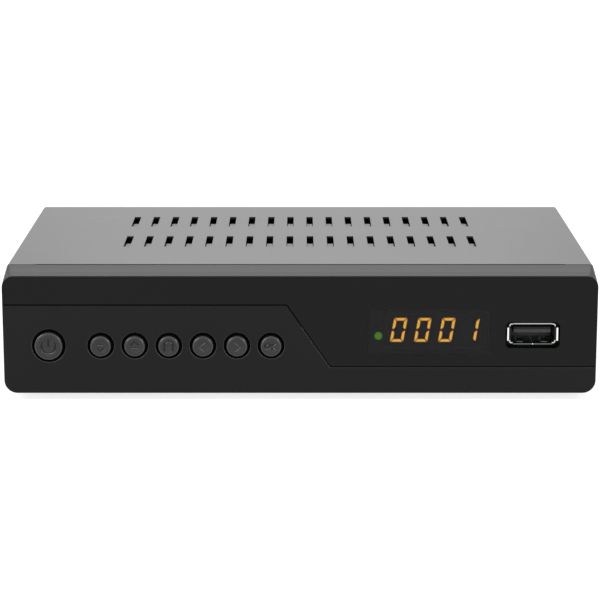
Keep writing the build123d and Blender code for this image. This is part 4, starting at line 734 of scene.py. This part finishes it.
def make_digits():
    """Lit bars with mitred corners and a bright core, in place of the plain ones."""
    low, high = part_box("lit_segments")
    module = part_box("display_module")
    first = (module[0].x + module[1].x) / 2 - (len(SHOWN_BARS) - 1) / 2 * DIGIT_PITCH
    z = (low.z + high.z) / 2
    form = bmesh.new()
    for place, letters in enumerate(SHOWN_BARS):
        for letter in letters:
            points = bar_outline(letter, (high.z - low.z) / 2)
            corners = [(first + place * DIGIT_PITCH + u, low.y - BAR_PROUD, z + v) for u, v in points]
            front = form.faces.new([form.verts.new(corner) for corner in corners])
            bmesh.ops.recalc_face_normals(form, faces=[front])
            solid = bmesh.ops.extrude_face_region(form, geom=[front], use_keep_orig=True)
            back = [item for item in solid["geom"] if isinstance(item, bmesh.types.BMVert)]
            bmesh.ops.translate(form, verts=back, vec=(0.0, BAR_DEPTH, 0.0))
            bmesh.ops.inset_region(form, faces=[front], thickness=BAR_EDGE)
    bmesh.ops.recalc_face_normals(form, faces=form.faces)
    mesh = bpy.data.meshes.new("lit_bars")
    form.to_mesh(mesh)
    form.free()
    bars = add_piece("lit_bars", mesh, "segment_amber", "case")
    paint(bars, AMBER_EDGE, MATERIALS["segment_amber"])
    for facet in bars.data.polygons:
        is_core = len(facet.vertices) > 4 and facet.normal.y < 0  # the rim's faces have four corners
        facet.material_index = int(is_core)
    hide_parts("lit_segments")


# ---------------------------------------------------------------------------- satellite input
def make_barrel():
    """Threaded barrel of the satellite input, in place of the plain solid."""
    low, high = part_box("lnb_connector")
    middle = (low + high) / 2
    nut_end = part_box("lnb_nut")[1].y
    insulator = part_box("lnb_insulator")
    radius = (high.x - low.x) / 2
    bore = (insulator[1].x - insulator[0].x) / 2 + BARREL_FIT
    start = nut_end + BARREL_CHAMFER
    end = high.y - BARREL_CHAMFER
    count = round((end - start) / THREAD_PITCH * THREAD_RINGS)

    def thread(reach, y, turn):
        if reach < radius or not start < y < end:
            return reach
        phase = ((y - start) / THREAD_PITCH - turn / (2 * math.pi)) % 1.0
        fade = min(1.0, (y - start) / THREAD_PITCH, (end - y) / THREAD_PITCH)
        return reach - fade * THREAD_DEPTH * (1 - abs(2 * phase - 1))

    profile = [
        (bore, low.y),
        (radius - BARREL_STEP, low.y),
        (radius - BARREL_STEP, nut_end),
        (radius, start),
    ]
    profile += [(radius, start + (end - start) * i / count) for i in range(1, count)]
    profile += [(radius, end), (radius - BARREL_CHAMFER, high.y), (bore, high.y)]
    mesh = lathe("satellite_input_barrel", profile, middle.x, middle.z, THREAD_STEPS, thread)
    barrel = add_piece("satellite_input_barrel", mesh, "nickel", "case")
    smooth(barrel, BARREL_CREASE)
    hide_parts("lnb_connector")


# ---------------------------------------------------------------------------- stage
def make_camera():
    """Camera in front, aimed midway between the panel's lower edge and the cover's rear edge."""
    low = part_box("front_bezel")[0]
    camera = bpy.data.cameras.new("camera")
    camera.sensor_width = SENSOR_WIDTH
    camera.lens = CAMERA_LENS
    camera.clip_start, camera.clip_end = CAMERA_CLIP
    holder = bpy.data.objects.new("camera", camera)
    bpy.context.scene.collection.objects.link(holder)
    holder.location = (0.0, low.y - CAMERA_GAP, low.z + CAMERA_RISE)
    cover_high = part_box("top_cover")[1]
    to_bottom = math.atan2(CAMERA_RISE, CAMERA_GAP)
    to_top = math.atan2(holder.location.z - cover_high.z, cover_high.y - holder.location.y)
    holder.rotation_euler = (math.pi / 2 - (to_bottom + to_top) / 2, 0.0, 0.0)
    bpy.context.scene.camera = holder


def backdrop_strength(tree, seen, unseen):
    """Strength seen by the camera, in gloss and through glass, and another one for the light."""
    path = tree.nodes.new("ShaderNodeLightPath")
    strength = tree.nodes.new("ShaderNodeMapRange")
    strength.inputs["To Min"].default_value = unseen
    strength.inputs["To Max"].default_value = seen
    total = path.outputs["Is Camera Ray"]
    for ray in ("Is Glossy Ray", "Is Transmission Ray"):
        either = tree.nodes.new("ShaderNodeMath")
        either.operation = "MAXIMUM"
        tree.links.new(total, either.inputs[0])
        tree.links.new(path.outputs[ray], either.inputs[1])
        total = either.outputs["Value"]
    tree.links.new(total, strength.inputs["Value"])
    return strength.outputs["Result"]


def make_world():
    """White to the camera, in gloss and through glass; a calmer level as light."""
    world = bpy.data.worlds.new("room")
    world.use_nodes = True
    bpy.context.scene.world = world
    tree = world.node_tree
    background = tree.nodes["Background"]
    background.inputs["Color"].default_value = (1.0, 1.0, 1.0, 1.0)
    tree.links.new(backdrop_strength(tree, WHITE, ROOM_LIGHT), background.inputs["Strength"])


def make_floor():
    bpy.ops.mesh.primitive_plane_add(size=FLOOR_SIZE)
    floor = bpy.context.object
    floor.name = "floor"
    material = bpy.data.materials.new("floor")
    material.use_nodes = True
    tree = material.node_tree
    shader = tree.nodes["Principled BSDF"]
    shader.inputs["Base Color"].default_value = (FLOOR_GREY, FLOOR_GREY, FLOOR_GREY, 1.0)
    shader.inputs["Roughness"].default_value = FLOOR_ROUGHNESS
    shader.inputs["Specular IOR Level"].default_value = 0.0
    shader.inputs["Emission Color"].default_value = (1.0, 1.0, 1.0, 1.0)
    tree.links.new(backdrop_strength(tree, FLOOR_GLOW, 0.0), shader.inputs["Emission Strength"])
    floor.data.materials.append(material)


def add_softbox(name, place, size, radiance):
    """Rectangular lamp of even radiance that faces the object."""
    width, height = size
    light = bpy.data.lights.new(name, "AREA")
    light.shape = "RECTANGLE"
    light.size = width
    light.size_y = height
    light.energy = radiance * math.pi * width * height
    holder = bpy.data.objects.new(name, light)
    bpy.context.scene.collection.objects.link(holder)
    holder.location = place
    holder.visible_camera = False
    toward = LIGHT_AIM - Vector(place)
    holder.rotation_euler = toward.to_track_quat("-Z", "Y").to_euler()


# ---------------------------------------------------------------------------- assembly
make_camera()
make_world()
make_floor()
for name, (place, size, radiance) in SOFTBOXES.items():
    add_softbox(name, place, size, radiance)
dress_nodes()
for node in SIGNS:
    make_cap(node)
make_digits()
make_barrel()

bpy.context.scene.view_settings.view_transform = "Standard"
